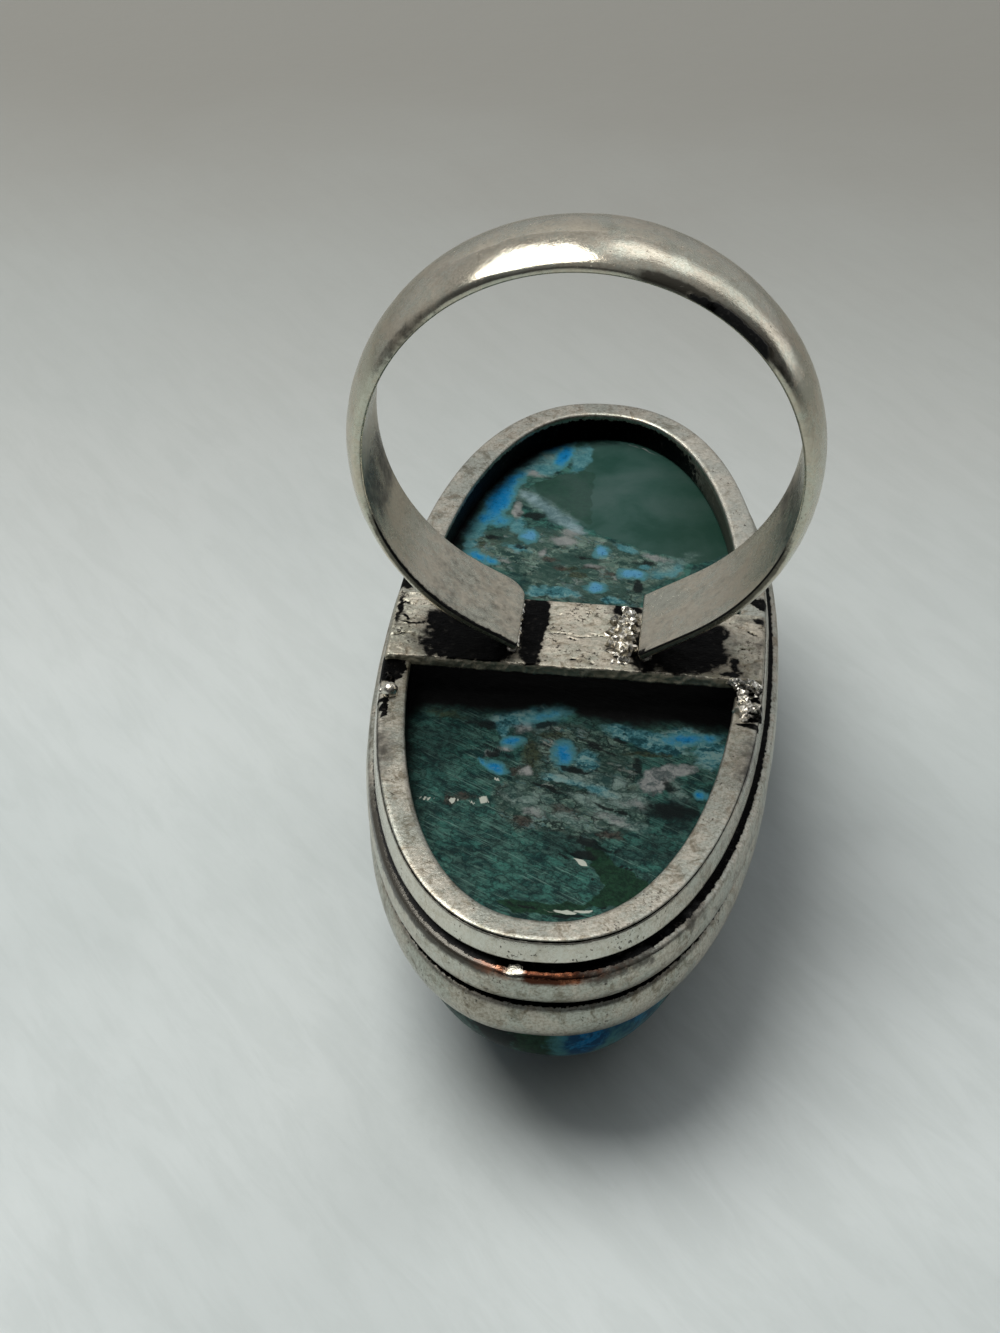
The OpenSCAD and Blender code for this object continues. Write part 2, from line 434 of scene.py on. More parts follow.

# %% [markdown]
# ## Plated metal
#
# The metal is a silver-coloured plating: satin, a little yellow, with black left in every recess.
# One function makes it, with its own colours and roughness for each piece. It reads six numbers
# from the points of a piece. *black* gives way to a rough, nearly black crust, *dull* to dark
# tarnish, and in a few places to a painted dark reflection, and *grime* to brown dirt. *copper* is
# where the plating is worn through, *polish* where it is rubbed smooth, and *bright* lightens the
# colour: a painted sheen on the setting's wall, and a paler metal on the ragged solder.
# Black is kept metallic with a nearly black colour, because black paint would still shine grey.

# %% The metal finish
def metal_finish(name, cool, warm, rough, tear=0.5, tear_scale=3.0, softness=0.12, scuff=0.3,
                 grain=0.4, stain=0.4, speck=0.8, speck_edge=0.66):
    """A worn plated metal that drifts between a cool and a warm colour."""
    finish, tree, shader, place = new_finish(name)
    share, mask = partial(calc, tree, "MULTIPLY"), partial(torn_mask, tree, place)
    mottle = use(tree, MOTTLE, {"Place": place, "Cool": colour(cool), "Warm": colour(warm),
                                "Grain": grain, "Stain": stain})
    dots = use(tree, SPECKS, {"Place": place, "Edge": speck_edge})["Mask"]
    black = mask("black", 0.5, tear, tear_scale, softness)
    smoked = mask("black", 0.08, 0.9, 1.6, 0.75)
    dull = mask("dull", 0.1, 1.0, 2.6, 0.7)
    copper = mask("copper", 0.1, 0.9, 2.2, 0.7)
    crusty = ease(tree, cloud(tree, place, 3.0, 5.0, 0.65), 0.56, 0.74)
    crust = tint(tree, crusty, (0.0008, 0.0008, 0.0008), (0.040, 0.036, 0.032))

    # bright lightens the colour: a painted sheen on the wall, a paler metal on ragged solder.
    clear = tint(tree, mark(tree, "bright"), mottle["Color"], (0.46, 0.43, 0.35), "SCREEN")
    shown = tint(tree, share(dots, speck), clear, (0.030, 0.025, 0.020))
    shown = tint(tree, share(smoked, 0.6), shown, (0.105, 0.092, 0.075))
    # dull darkens to tarnish, and in a few places to a painted dark reflection.
    shown = tint(tree, dull, shown, (0.064, 0.058, 0.045))
    worn_through = ease(tree, mottle["Value"], 0.42, 0.56)
    rusty = tint(tree, worn_through, (0.07, 0.026, 0.015), (0.29, 0.11, 0.055))
    shown = tint(tree, copper, shown, rusty)
    grime = share(mark(tree, "grime"), ease(tree, mottle["Value"], 0.40, 0.60, 0.55, 1.0))
    shown = tint(tree, grime, shown, (0.38, 0.35, 0.25))
    join(tree, tint(tree, black, shown, crust), shader.inputs["Base Color"])
    coated = calc(tree, "MAXIMUM", share(dull, 0.55), grime)
    join(tree, calc(tree, "SUBTRACT", 1.0, coated, clamp=True), shader.inputs["Metallic"])

    worn = calc(tree, "ADD", rough, share(calc(tree, "SUBTRACT", mottle["Value"], 0.5), 0.4))
    rubbed = share(worn, ease(tree, mark(tree, "polish"), 0.0, 1.0, 1.0, 0.35))
    join(tree, put(tree, "ShaderNodeMix", {0: black, 2: rubbed, 3: 0.6}).outputs[0],
         shader.inputs["Roughness"])

    height = share(use(tree, SCUFFS, {"Place": place, "Fineness": 1.6})["Height"], scuff)
    height = calc(tree, "ADD", height, share(cloud(tree, place, 5.0, 4.0, 0.7), scuff))
    height = calc(tree, "SUBTRACT", height, share(dots, 0.4))
    height = calc(tree, "ADD", height, share(share(cloud(tree, place, 14.0, 3.0), black), 0.6))
    emboss(tree, shader, height, strength=0.5, distance=0.1)
    return finish


COOL, WARM = (0.47, 0.48, 0.42), (0.54, 0.505, 0.43)
WALL_METAL = metal_finish("setting_metal", COOL, WARM, rough=0.38, tear=1.1, tear_scale=3.8,
                          scuff=0.25, grain=0.6, stain=0.75, speck=0.8, speck_edge=0.665)
BAND_METAL = metal_finish("band_metal", (0.59, 0.585, 0.485), (0.64, 0.58, 0.465), rough=0.28,
                          scuff=0.12, grain=0.25, stain=0.25, speck=0.6, speck_edge=0.72)
BRIDGE_METAL = metal_finish("bridge_metal", (0.53, 0.52, 0.43), (0.60, 0.545, 0.45), rough=0.46,
                            tear=1.3, tear_scale=2.6, softness=0.35, scuff=0.35, grain=0.5,
                            stain=0.7, speck=0.85, speck_edge=0.63)
SOLDER_METAL = metal_finish("solder_metal", (0.66, 0.65, 0.60), (0.76, 0.71, 0.62), rough=0.27,
                            tear=1.1, tear_scale=2.4, softness=0.35, scuff=0.1, grain=0.3,
                            stain=0.3)
for metal in (WALL_METAL, BAND_METAL, BRIDGE_METAL, SOLDER_METAL):
    print(metal.name, "has", len(metal.node_tree.nodes), "nodes")

# %% [markdown]
# ## The setting's wall
#
# The wall is one stepped section swept round the oval: flat rim, thin seam, flared band, wide
# groove, half-round wire, narrow groove and rolled lip. That is a rule, so Geometry Nodes make it.
# The section is a small closed line whose points also hold how black that place is and how far it
# leans: on the real ring the lower steps sit a little to one side.

# %% The section, from the rim's inner edge outwards and down
# Rows of [outward from the rim's outer edge, depth under the rim, black, lean].
SECTION = [
    [-1.2, 0.13, 0, 0], [-1.17, 0.05, 0, 0], [-1.1, 0.005, 0, 0], [-0.95, 0, 0, 0],
    [-0.6, 0, 0, 0], [-0.25, 0, 0, 0], [-0.12, 0.005, 0, 0], [-0.045, 0.03, 0.1, 0],
    [-0.005, 0.065, 0.3, 0], [-0.03, 0.085, 0.9, 0], [-0.06, 0.1, 1, 0], [-0.02, 0.12, 0.9, 0],
    [0.025, 0.14, 0.35, 0], [0.055, 0.2, 0.15, 0], [0.1, 0.42, 0, 0], [0.145, 0.7, 0, 0],
    [0.175, 0.9, 0.15, 0.05], [0.19, 0.98, 0.28, 0.1], [0.185, 1.03, 0.4, 0.1],
    [0.14, 1.07, 0.7, 0.2], [0.05, 1.1, 1, 0.3], [0.02, 1.15, 1, 0.4], [0.02, 1.3, 1, 0.6],
    [0.1, 1.365, 1, 0.8], [0.22, 1.38, 0.9, 0.9], [0.29, 1.395, 0.6, 1], [0.36, 1.42, 0.35, 1],
    [0.43, 1.45, 0.2, 1], [0.495, 1.49, 0.1, 1], [0.54, 1.56, 0.05, 1], [0.575, 1.7, 0, 1],
    [0.6, 1.95, 0, 1], [0.62, 2.18, 0, 1], [0.61, 2.38, 0, 1], [0.575, 2.57, 0.05, 1],
    [0.52, 2.73, 0.15, 1], [0.45, 2.86, 0.3, 1], [0.36, 2.95, 0.6, 1], [0.22, 3.01, 0.95, 1],
    [0.16, 3.06, 1, 1], [0.16, 3.12, 1, 1], [0.21, 3.17, 0.95, 1], [0.33, 3.21, 0.6, 1],
    [0.42, 3.28, 0.3, 1], [0.475, 3.42, 0.12, 1], [0.51, 3.65, 0, 1], [0.53, 3.9, 0, 1],
    [0.515, 4.16, 0, 1], [0.475, 4.4, 0, 1], [0.4, 4.62, 0, 1], [0.3, 4.81, 0, 0.8],
    [0.16, 4.97, 0.1, 0.6], [-0.01, 5.09, 0.2, 0.4], [-0.2, 5.16, 0.3, 0.2], [-0.42, 5.19, 0.4, 0],
    [-0.57, 5.16, 0.7, 0], [-0.62, 5.05, 1, 0], [-0.55, 4.75, 1, 0], [-0.4, 4.45, 1, 0],
    [-0.4, 3, 1, 0], [-0.4, 1.42, 1, 0], [-0.8, 1.4, 1, 0], [-1.18, 1.4, 1, 0], [-1.2, 1.37, 1, 0],
    [-1.2, 1, 1, 0], [-1.2, 0.7, 0.95, 0], [-1.2, 0.4, 0.8, 0], [-1.2, 0.24, 0.45, 0],
]


def section_object():
    """The section as a closed line of points, held flat in X (outward) and Y (depth)."""
    mesh = bpy.data.meshes.new("wall_section")
    count = len(SECTION)
    mesh.from_pydata([(row[0] * MM, row[1] * MM, 0) for row in SECTION],
                     [(i, (i + 1) % count) for i in range(count)], [])
    store(mesh, "black", [row[2] for row in SECTION])
    store(mesh, "lean", [row[3] for row in SECTION])
    return add_object("wall_section", mesh)


print("section:", len(SECTION), "points, deepest", max(row[1] for row in SECTION), "mm")

# %% [markdown]
# The tree draws the oval from a circle: each point's angle gives its place by the superellipse
# rule. The curve is then spaced evenly, the section is swept along it, noise roughens it, and the
# lower steps are leant over.

# %% The Geometry Nodes tree
def oval_path(tree, given):
    """The oval as an evenly spaced curve: a circle's points, moved by the superellipse rule."""
    rough_steps = calc(tree, "MULTIPLY", given["Steps"], 6.0)
    circle = put(tree, "GeometryNodeCurvePrimitiveCircle", {"Resolution": rough_steps, "Radius": 1.0})
    index = put(tree, "GeometryNodeInputIndex").outputs[0]
    angle = calc(tree, "MULTIPLY", calc(tree, "DIVIDE", index, rough_steps), 2 * math.pi)
    power = calc(tree, "DIVIDE", 2.0, given["Squareness"])

    def along(wave, size):
        """One coordinate of the oval, by the superellipse rule."""
        value = calc(tree, wave, angle)
        bent = calc(tree, "POWER", calc(tree, "ABSOLUTE", value), power)
        half = calc(tree, "MULTIPLY", given[size], 0.5)
        return calc(tree, "MULTIPLY", calc(tree, "MULTIPLY", bent, calc(tree, "SIGN", value)), half)

    spot = put(tree, "ShaderNodeCombineXYZ", {
        "X": along("COSINE", "Rim width"), "Y": along("SINE", "Rim length"), "Z": given["Rim height"]})
    path = put(tree, "GeometryNodeSetPosition", {
        "Geometry": circle.outputs[0], "Position": spot.outputs[0]})
    even = put(tree, "GeometryNodeResampleCurve", {"Curve": path.outputs[0], "Count": given["Steps"]})
    upright = put(tree, "GeometryNodeSetCurveNormal", {"Curve": even.outputs[0]}, mode="Z_UP")
    return upright.outputs[0]


def ripple_and_lean(tree, given):
    """How far each point of the wall moves: by noise along its normal, and aside by its lean."""
    place = put(tree, "GeometryNodeInputPosition").outputs[0]
    rows = {"Vector": place, "Scale": 0.42 / MM, "Detail": 3.0, "Roughness": 0.6}
    ripple = put(tree, "ShaderNodeTexNoise", rows).outputs[0]
    push = calc(tree, "MULTIPLY", calc(tree, "SUBTRACT", ripple, 0.62), given["Waver"])
    normal = put(tree, "GeometryNodeInputNormal").outputs[0]
    moved = put(tree, "ShaderNodeVectorMath", {0: normal, "Scale": push}, operation="SCALE").outputs[0]
    lean = put(tree, "GeometryNodeInputNamedAttribute", {"Name": "lean"}, data_type="FLOAT").outputs[0]
    aside = calc(tree, "MULTIPLY", lean, given["Lean"])
    aside = put(tree, "ShaderNodeCombineXYZ", {"X": aside}).outputs[0]
    return put(tree, "ShaderNodeVectorMath", {0: moved, 1: aside}, operation="ADD").outputs[0]


def sweep_tree():
    """A tree that draws the oval, sweeps the section along it and moves the points."""
    tree = bpy.data.node_groups.new("Stepped oval wall", "GeometryNodeTree")
    for label, kind in (("Geometry", "Geometry"), ("Rim width", "Float"), ("Rim length", "Float"),
                        ("Squareness", "Float"), ("Steps", "Int"), ("Waver", "Float"),
                        ("Lean", "Float"), ("Rim height", "Float"), ("Section", "Object"),
                        ("Finish", "Material")):
        tree.interface.new_socket(label, in_out="INPUT", socket_type="NodeSocket" + kind)
    tree.interface.new_socket("Geometry", in_out="OUTPUT", socket_type="NodeSocketGeometry")
    given, out = put(tree, "NodeGroupInput").outputs, put(tree, "NodeGroupOutput").inputs

    info = put(tree, "GeometryNodeObjectInfo", {"Object": given["Section"]})
    line = put(tree, "GeometryNodeMeshToCurve", {"Mesh": info.outputs["Geometry"]})
    swept = put(tree, "GeometryNodeCurveToMesh", {
        "Curve": oval_path(tree, given), "Profile Curve": line.outputs[0]})
    wall = swept.outputs[0]
    for kind, rows in (("GeometryNodeSetPosition", {"Offset": ripple_and_lean(tree, given)}),
                       ("GeometryNodeSetShadeSmooth", {}), ("GeometryNodeRealizeInstances", {}),
                       ("GeometryNodeSetMaterial", {"Material": given["Finish"]})):
        wall = put(tree, kind, {"Geometry": wall, **rows}).outputs[0]
    join(tree, wall, out["Geometry"])
    return tree


SWEEP = sweep_tree()
print("inputs of the sweep:",
      [item.name for item in SWEEP.interface.items_tree if item.in_out == "INPUT"])

# %% Sweep the wall, then keep it as a plain mesh
def settle(made):
    """Replaces an object's mesh by what its modifiers make, and removes them."""
    graph = bpy.context.evaluated_depsgraph_get()
    mesh = bpy.data.meshes.new_from_object(
        made.evaluated_get(graph), preserve_all_data_layers=True, depsgraph=graph)
    made.modifiers.clear()
    made.data = mesh
    mesh.name = made.name


def set_inputs(modifier, values):
    """Sets a Geometry Nodes modifier's inputs, found by their names, through their identifiers."""
    for item in modifier.node_group.interface.items_tree:
        if item.item_type == "SOCKET" and item.in_out == "INPUT" and item.name in values:
            modifier[item.identifier] = values[item.name]


def build_wall():
    """The wall as a plain mesh, at full fineness, with its finish."""
    section = section_object()
    wall = add_object("setting_wall", bpy.data.meshes.new("setting_wall"))
    sweep = wall.modifiers.new("Sweep", "NODES")
    sweep.node_group = SWEEP
    set_inputs(sweep, {
        "Rim width": RIM_W * MM, "Rim length": RIM_L * MM, "Squareness": SQUARENESS, "Steps": 560,
        "Waver": 0.05 * MM, "Lean": 0.12 * MM, "Rim height": RIM_Z * MM, "Section": section,
        "Finish": WALL_METAL})
    settle(wall)
    bpy.data.objects.remove(section)
    turn_outwards(wall.data)
    wall.data.shade_smooth()
    return wall


wall = build_wall()
wall_points = points_of(wall.data)
print("wall, mm:", wall_points.min(0).round(2), wall_points.max(0).round(2), len(wall_points), "points")

# %% [markdown]
# ## Soot on the rim
#
# Next to the bridge the rim is burnt black, with a drip of black below the solder ball. These
# marks are charted as a few ellipses, and only added to the black that the section
# already carries.

# %% Black marks on the rim, as rows of [x, y, half length, half width, turn, strength]
RIM_SOOT = [
    [-8.05, -3.6, 0.75, 1.1, 0, 1.6], [-8.05, -5.95, 0.45, 0.2, 0, 1.3],
    [-7.88, -6.5, 0.13, 0.75, -3, 1.5], [7.8, -5.85, 0.7, 0.16, 0, 1.3],
    [7.3, -3.4, 0.4, 0.5, 0, 1], [8.1, -4.6, 0.4, 0.9, 0, 0.9], [8.1, 3.4, 0.4, 0.6, 20, 0.8],
    [-8.2, 3.2, 0.5, 0.6, 0, 0.7],
]


def blacken(piece, rows, only_above):
    """Adds charted soot to the black that a piece already has, on its upper faces."""
    mesh = piece.data
    points = points_of(mesh)
    soot = np.clip(chart(points, rows, 0.15, 0.6) * 1.2 + 0.5, 0, 1.2)
    soot = np.where((points[:, 2] > only_above) & (soot > 0.3), soot, 0)
    store(mesh, "black", np.maximum(stored(mesh, "black"), soot))


blacken(wall, RIM_SOOT, RIM_Z - 0.6)
print("soot marks on the rim:", len(RIM_SOOT))

# %% [markdown]
# ## Wear on the wall
#
# The end that faces the viewer shows the most wear. A small flat on top of the wire shines, and
# the plating beside it is worn through to copper. The wire is smooth to the left, and its top there
# is painted dark: a painted reflection. The flared band above it is rubbed, and painted lighter as a
# sheen, most to the left; so are the lower wire to the left and the far right of the rim. Tarnish
# lies on parts of the flat rim. The far window's right inner side isn't crusted: it mirrors the
# stone. All of this depends on a point's place, on its depth under the rim and on how far it
# leans, so it is worked out from those three. The limits are millimetres along X, along Y or down
# from the rim.

# %% Wear, and tarnish as rows of [x, y, half length, half width, turn, strength]
RIM_TARNISH = [
    [-7.7, -9.2, 1.2, 4.2, 10, 1], [8, -8.5, 1.1, 4.6, -6, 0.95], [0.8, 20.2, 4, 0.9, 0, 0.5],
    [-1.5, -20.2, 5, 0.9, 0, 0.5],
]
FLAT_X, FLAT_FACES = -0.8, np.array([-0.176, -0.311, 0.934])


def file_flat(points, wire, depth):
    """Files a small flat on top of the wire at the near end; returns 1 on it, 0 away from it."""
    aside, near_end = np.abs(points[:, 0] - FLAT_X), points[:, 1] < -18
    about = wire & near_end & (aside < 0.3) & (depth > 1.47) & (depth < 1.6)
    above = (points - points[about].mean(0)) @ FLAT_FACES
    worn = np.maximum(above, 0) * fade(aside, 0.25, 0.6) * (wire & near_end & (depth < 2))
    points -= worn[:, None] * FLAT_FACES
    return fade(aside, 0.2, 0.5) * wire * near_end * fade(depth, 1.6, 1.75)


def weather_wall(piece):
    """Stores the wear of the setting's wall for its finish to read."""
    mesh = piece.data
    points, lean = points_of(mesh), stored(mesh, "lean")
    x, y, depth = points[:, 0], points[:, 1], RIM_Z - points[:, 2]
    wire = (lean > 0.75) & (depth < 2.6)
    spot = file_flat(points, wire, depth)
    set_points(mesh, points)
    near = fade(y, -19.8, -17.5)
    patchy = smooth(waver(points, 1.2, 41), -0.3, 0.3)

    # The wire: smooth to the left, where its top is painted dark as a reflection; patchy to the right,
    # coppery in the middle.
    left = fade(x, -2.2, -1.2) * fade(y, -14.0, -7.0)
    right = smooth(x, 1.2, 2.4) * fade(x, 5.6, 7.4) * fade(y, -16.0, -12.0)
    # Painted dark reflection on the wire's smooth top, to the left.
    smooth_top_painted_dark = fade(depth, 1.6, 1.9) * wire * left
    low = fade(depth, 1.7, 2.3) * wire
    middle = np.clip(1.2 - np.abs(x - 0.4) / 3.0, 0, 1)
    coppery = fade(depth, 1.6, 2.0) * wire * near * middle * (1 - spot)

    # The flared band outside, and the inner side of the far window, on either side of the rim.
    radius = np.hypot(x / (RIM_W / 2 - 1.1), y / (RIM_L / 2 - 1.1))
    flared = (lean < 0.15) & (depth > 0.16) & (depth < 1.0) & (radius > 1.03)
    rubbed = flared * (0.55 + 0.35 * waver(points, 2.2, 25))
    rusty = 0.15 * flared * near * fade(np.abs(x - 2.0), 0.6, 2.2) * patchy
    inside = (radius < 1.03) & (depth > 0.3) & (depth < 1.45)
    clean = inside * smooth(x, 3.0, 6.5) * smooth(y, 6.0, 9.0)
    rim = (depth < 0.3) * np.clip(chart(points, RIM_TARNISH, 0.5, 2.0, 24), 0, 1)

    dull = np.maximum(smooth_top_painted_dark, low * right * (0.1 + 0.5 * patchy)) * (1 - spot)
    # Painted sheen: lighter colour on the flared band, most to the left, on the lower wire to the left
    # and on the far right of the rim.
    white = fade(x, 1.0, 7.0) * flared + 0.5 * fade(x, -4.0, -1.0) * (wire & (depth > 1.7))
    white = np.maximum(white, 0.4 * (depth < 0.2) * smooth(x, 2.0, 5.0) * smooth(y, 3.0, 6.0))
    store(mesh, "polish", np.maximum.reduce([smooth_top_painted_dark, low * near, spot, rubbed]))
    store(mesh, "dull", np.maximum.reduce([dull, 0.9 * clean, 0.75 * rim]))
    store(mesh, "copper", np.maximum(coppery, rusty))
    store(mesh, "bright", np.clip(white, 0, 1))
    store(mesh, "black", stored(mesh, "black") * (1 - 0.85 * clean) * (1 - 0.6 * spot))


weather_wall(wall)
print("finish marks on the wall:", [layer.name for layer in wall.data.attributes])

# %% [markdown]
# ## The finger band
#
# The band is a D-shaped wire, flat inside and crowned outside, bent to a circle that is open at
# the bottom: its two ends run straight down to the bridge. Each station along the way gets the
# same loop of section points. Near a tip the loop shrinks a little to round its edges, and at the
# left tip the far corner is filed to a quarter circle.

# %% The band's path and section
def bend_angle(tip, straight):
    """Angle from straight down at which the band turns from round to straight."""
    return math.asin(tip / math.hypot(BAND_R, straight)) + math.atan(straight / BAND_R)


def band_stations(steps=300):
    """Rows of [x, z, outward x, outward z, way to the left tip, way to the right tip]."""
    start = -math.pi / 2 + bend_angle(TIP_RIGHT, STRAIGHT_RIGHT)
    stop = 1.5 * math.pi - bend_angle(TIP_LEFT, STRAIGHT_LEFT)
    arc = BAND_R * (stop - start)
    whole = STRAIGHT_RIGHT + arc + STRAIGHT_LEFT
    near_tip = np.array([0, 0.02, 0.06, 0.12, 0.2, 0.32, 0.5, 0.7, 0.9, 1.1])
    run = np.concatenate([near_tip, np.linspace(1.3, whole - 1.3, steps), whole - near_tip[::-1]])
    rows = []
    for s in run:
        turn = start + min(max((s - STRAIGHT_RIGHT) / BAND_R, 0), stop - start)
        beyond = min(s - STRAIGHT_RIGHT, 0) + max(s - STRAIGHT_RIGHT - arc, 0)
        out_x, out_z = math.cos(turn), math.sin(turn)
        x = BAND_R * out_x - beyond * out_z
        z = BAND_Z + BAND_R * out_z + beyond * out_x
        rows.append([x, z, out_x, out_z, whole - s, s])
    return np.array(rows)


def band_section(steps=22):
    """A closed loop of [along Y, outward], flat inside, crowned outside, with soft corners."""
    crown = BAND_MID - BAND_EDGE
    half, soft = BAND_W / 2, 0.09
    crown_r = (half ** 2 + crown ** 2) / (2 * crown)
    inner = [[y, 0.02 * math.cos(y / half * math.pi / 2)]
             for y in np.linspace(-half + soft, half - soft, 9)]
    corner = [[half - soft + soft * math.cos(a), soft + soft * math.sin(a)]
              for a in np.radians([-70, -45, -20])]
    far = corner + [[half, soft + 0.01], [half, BAND_EDGE - 0.1]]
    outer = []
    for y in np.linspace(half - 0.04, -half + 0.04, steps):
        rise = BAND_MID - crown_r + math.sqrt(crown_r ** 2 - y * y)
        outer.append([y, rise - 0.015 * (abs(y) > half - 0.1)])
    near = [[-y, out] for y, out in far[::-1]]
    return np.array(inner + far + outer + near)


print("the band:", len(band_stations()), "loops of", len(band_section()), "points")

# %% Build the band
def worn_arcs(turn):
    """1 along the two arcs of the near edge that are worn and dark, by the angle from the top."""
    right = smooth(turn, 6, 16) * fade(turn, 46, 60)
    left = smooth(turn, -68, -58) * fade(turn, -44, -36)
    return np.maximum(right, 0.6 * left)


def band_place(points):
    """Each point's angle from the band's top in degrees, and its way across: 0 near, 1 far."""
    turn = np.degrees(np.arctan2(points[:, 0], points[:, 2] - BAND_Z))
    return turn, (points[:, 1] - BAND_Y + BAND_W / 2) / BAND_W


def bend_band(stations, loop):
    """The loop at each station: a little smaller at the tips, and filed at the left tip's corner."""
    half, middle = BAND_W / 2, loop.mean(0)
    rings = []
    for x, z, out_x, out_z, to_left, to_right in stations:
        shrink = 0.05 * (1 - min(min(to_left, to_right) / 0.06, 1)) ** 0.5
        ring = loop + (middle - loop) * np.array([shrink / 2, shrink * 1.6])
        if to_left < CORNER_R:
            reach = half - CORNER_R + math.sqrt(CORNER_R ** 2 - (CORNER_R - to_left) ** 2)
            ring[:, 0] = -half + (ring[:, 0] + half) * (reach + half) / BAND_W
        rings.append(np.c_[x + ring[:, 1] * out_x, BAND_Y + ring[:, 0], z + ring[:, 1] * out_z])
    return np.concatenate(rings)


def wear_band(points, outward, lift):
    """Files the crown unevenly, bevels its near edge and lets the band waver from side to side."""
    turn, across = band_place(points)
    uneven = 0.025 * waver(points, 3.0, 4) + 0.008 * waver(points, 0.7, 5)
    uneven = np.minimum(uneven - 0.012, 0.0) * smooth(lift, 0.02, 0.3)
    bevel = np.clip(1 - across / 0.14, 0, 1) ** 2 * (0.35 + 0.65 * worn_arcs(turn))
    uneven -= (0.11 * bevel + 0.02 * bevel * waver(points, 0.8, 17)) * smooth(lift, 0.12, 0.3)
    points[:, [0, 2]] += uneven[:, None] * outward
    inward = 1 - np.abs(points[:, 1] - BAND_Y) / BAND_W
    points[:, 1] += 0.02 * waver(points * [1, 0, 1], 2.5, 6) * inward


def build_band():
    """The band as one closed tube, from its right tip round to its left one."""
    stations, loop = band_stations(), band_section()
    count, size = len(stations), len(loop)
    points = bend_band(stations, loop)
    wear_band(points, np.repeat(stations[:, 2:4], size, 0), np.tile(loop[:, 1], count))
    return make_piece("finger_band", points, capped_faces(count, size), BAND_METAL)


band = build_band()

# %% Wear, soot and tarnish on the band
def weather_band(piece):
    """Stores the band's wear for its finish to read."""
    mesh = piece.data
    points = points_of(mesh)
    normals = np.zeros(len(points) * 3)
    mesh.vertex_normals.foreach_get("vector", normals)
    normals = normals.reshape(-1, 3)
    turn, across = band_place(points)
    angle = np.radians(turn)
    facing = normals[:, 0] * np.sin(angle) + normals[:, 2] * np.cos(angle)
    inner, outer, edge = facing < -0.75, facing > 0.3, facing > -0.3
    worn = worn_arcs(turn)

    # Soot at the feet, along the near edge of the legs and inside the left leg; on the right arc
    # of the near edge, black that is partly dirt and partly a painted dark reflection.
    feet = fade(points[:, 2], BRIDGE_TOP - 0.1, BRIDGE_TOP + 0.9) * np.where(outer, 1.1, 0.15)
    lower = smooth(np.abs(turn), 96, 118) * (across < 0.03)
    corner = 0.85 * lower * (facing < -0.25) * (facing > -0.97)
    left_leg = 0.64 * inner * (turn < 0) * lower
    # Partly dirt, partly a painted dark reflection along the bevelled near edge.
    edge_dirt_and_dark_reflection = 0.85 * worn * fade(across, 0.03, 0.10) * fade(np.abs(turn - 40), 8, 26) * edge
    store(mesh, "black", np.maximum.reduce([feet, corner, left_leg, edge_dirt_and_dark_reflection]))

    # Dark marks: a painted dark reflection of the setting on the inside, tarnish on the sides of
    # the legs, and a streak along the near edge, partly dirt and partly a painted dark reflection.
    cloudy = smooth(waver(points * [1, 3, 1], 3.0, 19), -1.0, -0.1)
    # Painted dark reflection of the setting, on the inside of the band.
    painted_inside_reflection = 0.6 * fade(np.abs(np.abs(turn) - 105), 5, 13) * cloudy
    legs = smooth(np.abs(turn), 130, 142) * np.where(turn < 0, 0.3, 0.2)
    side = 0.75 * lower * (facing > -0.75) * (facing < 0.6)
    # Partly dirt, partly a painted dark reflection along the bevelled near edge.
    streak = worn * fade(across, 0.05, 0.10) * smooth(waver(points, 1.1, 18), -0.9, -0.2)
    inside = inner * np.maximum(painted_inside_reflection, legs)
    store(mesh, "dull", np.maximum.reduce([inside, side, 0.9 * streak * edge]))
    store(mesh, "grime", 0.4 * side)

    # Polish: the near half of the crown, round the top.
    ridge = fade(across + 0.02 * waver(points, 1.5, 20), 0.36, 0.40) * fade(np.abs(turn - 10), 38, 56)
    store(mesh, "polish", ridge * outer)


weather_band(band)
print("finish marks on the band:", [layer.name for layer in band.data.attributes])

# %% [markdown]
# ## The bridge
#
# A flat strip crosses the open back and carries the band. Its ends follow the oval and its edges
# are a little rounded. The heat of soldering left it lumpy, so its top and its front edge get
# stronger noise than the rest. Soot covers it under both ends of the band.

# %% Soot and cracks on the bridge, as rows of [x, y, half length, half width, turn, strength]
BRIDGE_SOOT = [
    [-4.6, -1.5, 2.6, 1.9, 0, 1.6], [-5.3, -0.3, 1.9, 1.3, -18, 1.3],
    [-1.95, -0.2, 0.62, 3.4, 0, 1.8], [-3, 0.8, 1.3, 1.4, 0, 1.2], [4.9, -1.1, 2.1, 1.9, 8, 1.7],
    [5.6, 0.2, 1.3, 1.1, 25, 1.3], [3.1, -1.2, 0.9, 1.9, 0, 1.3], [2.1, 1.7, 0.8, 0.6, 20, 1.2],
    [-7.5, -0.35, 0.75, 0.13, 8, 1], [-7.9, 0, 0.4, 0.1, -25, 0.9],
    [-8.2, 0.6, 0.16, 1.6, -4, 0.7], [7.15, -1.9, 0.3, 0.7, 10, 0.8], [7, -2.6, 0.6, 0.25, 0, 0.8],
    [8.05, 1.7, 0.3, 0.35, 0, 0.9],
]
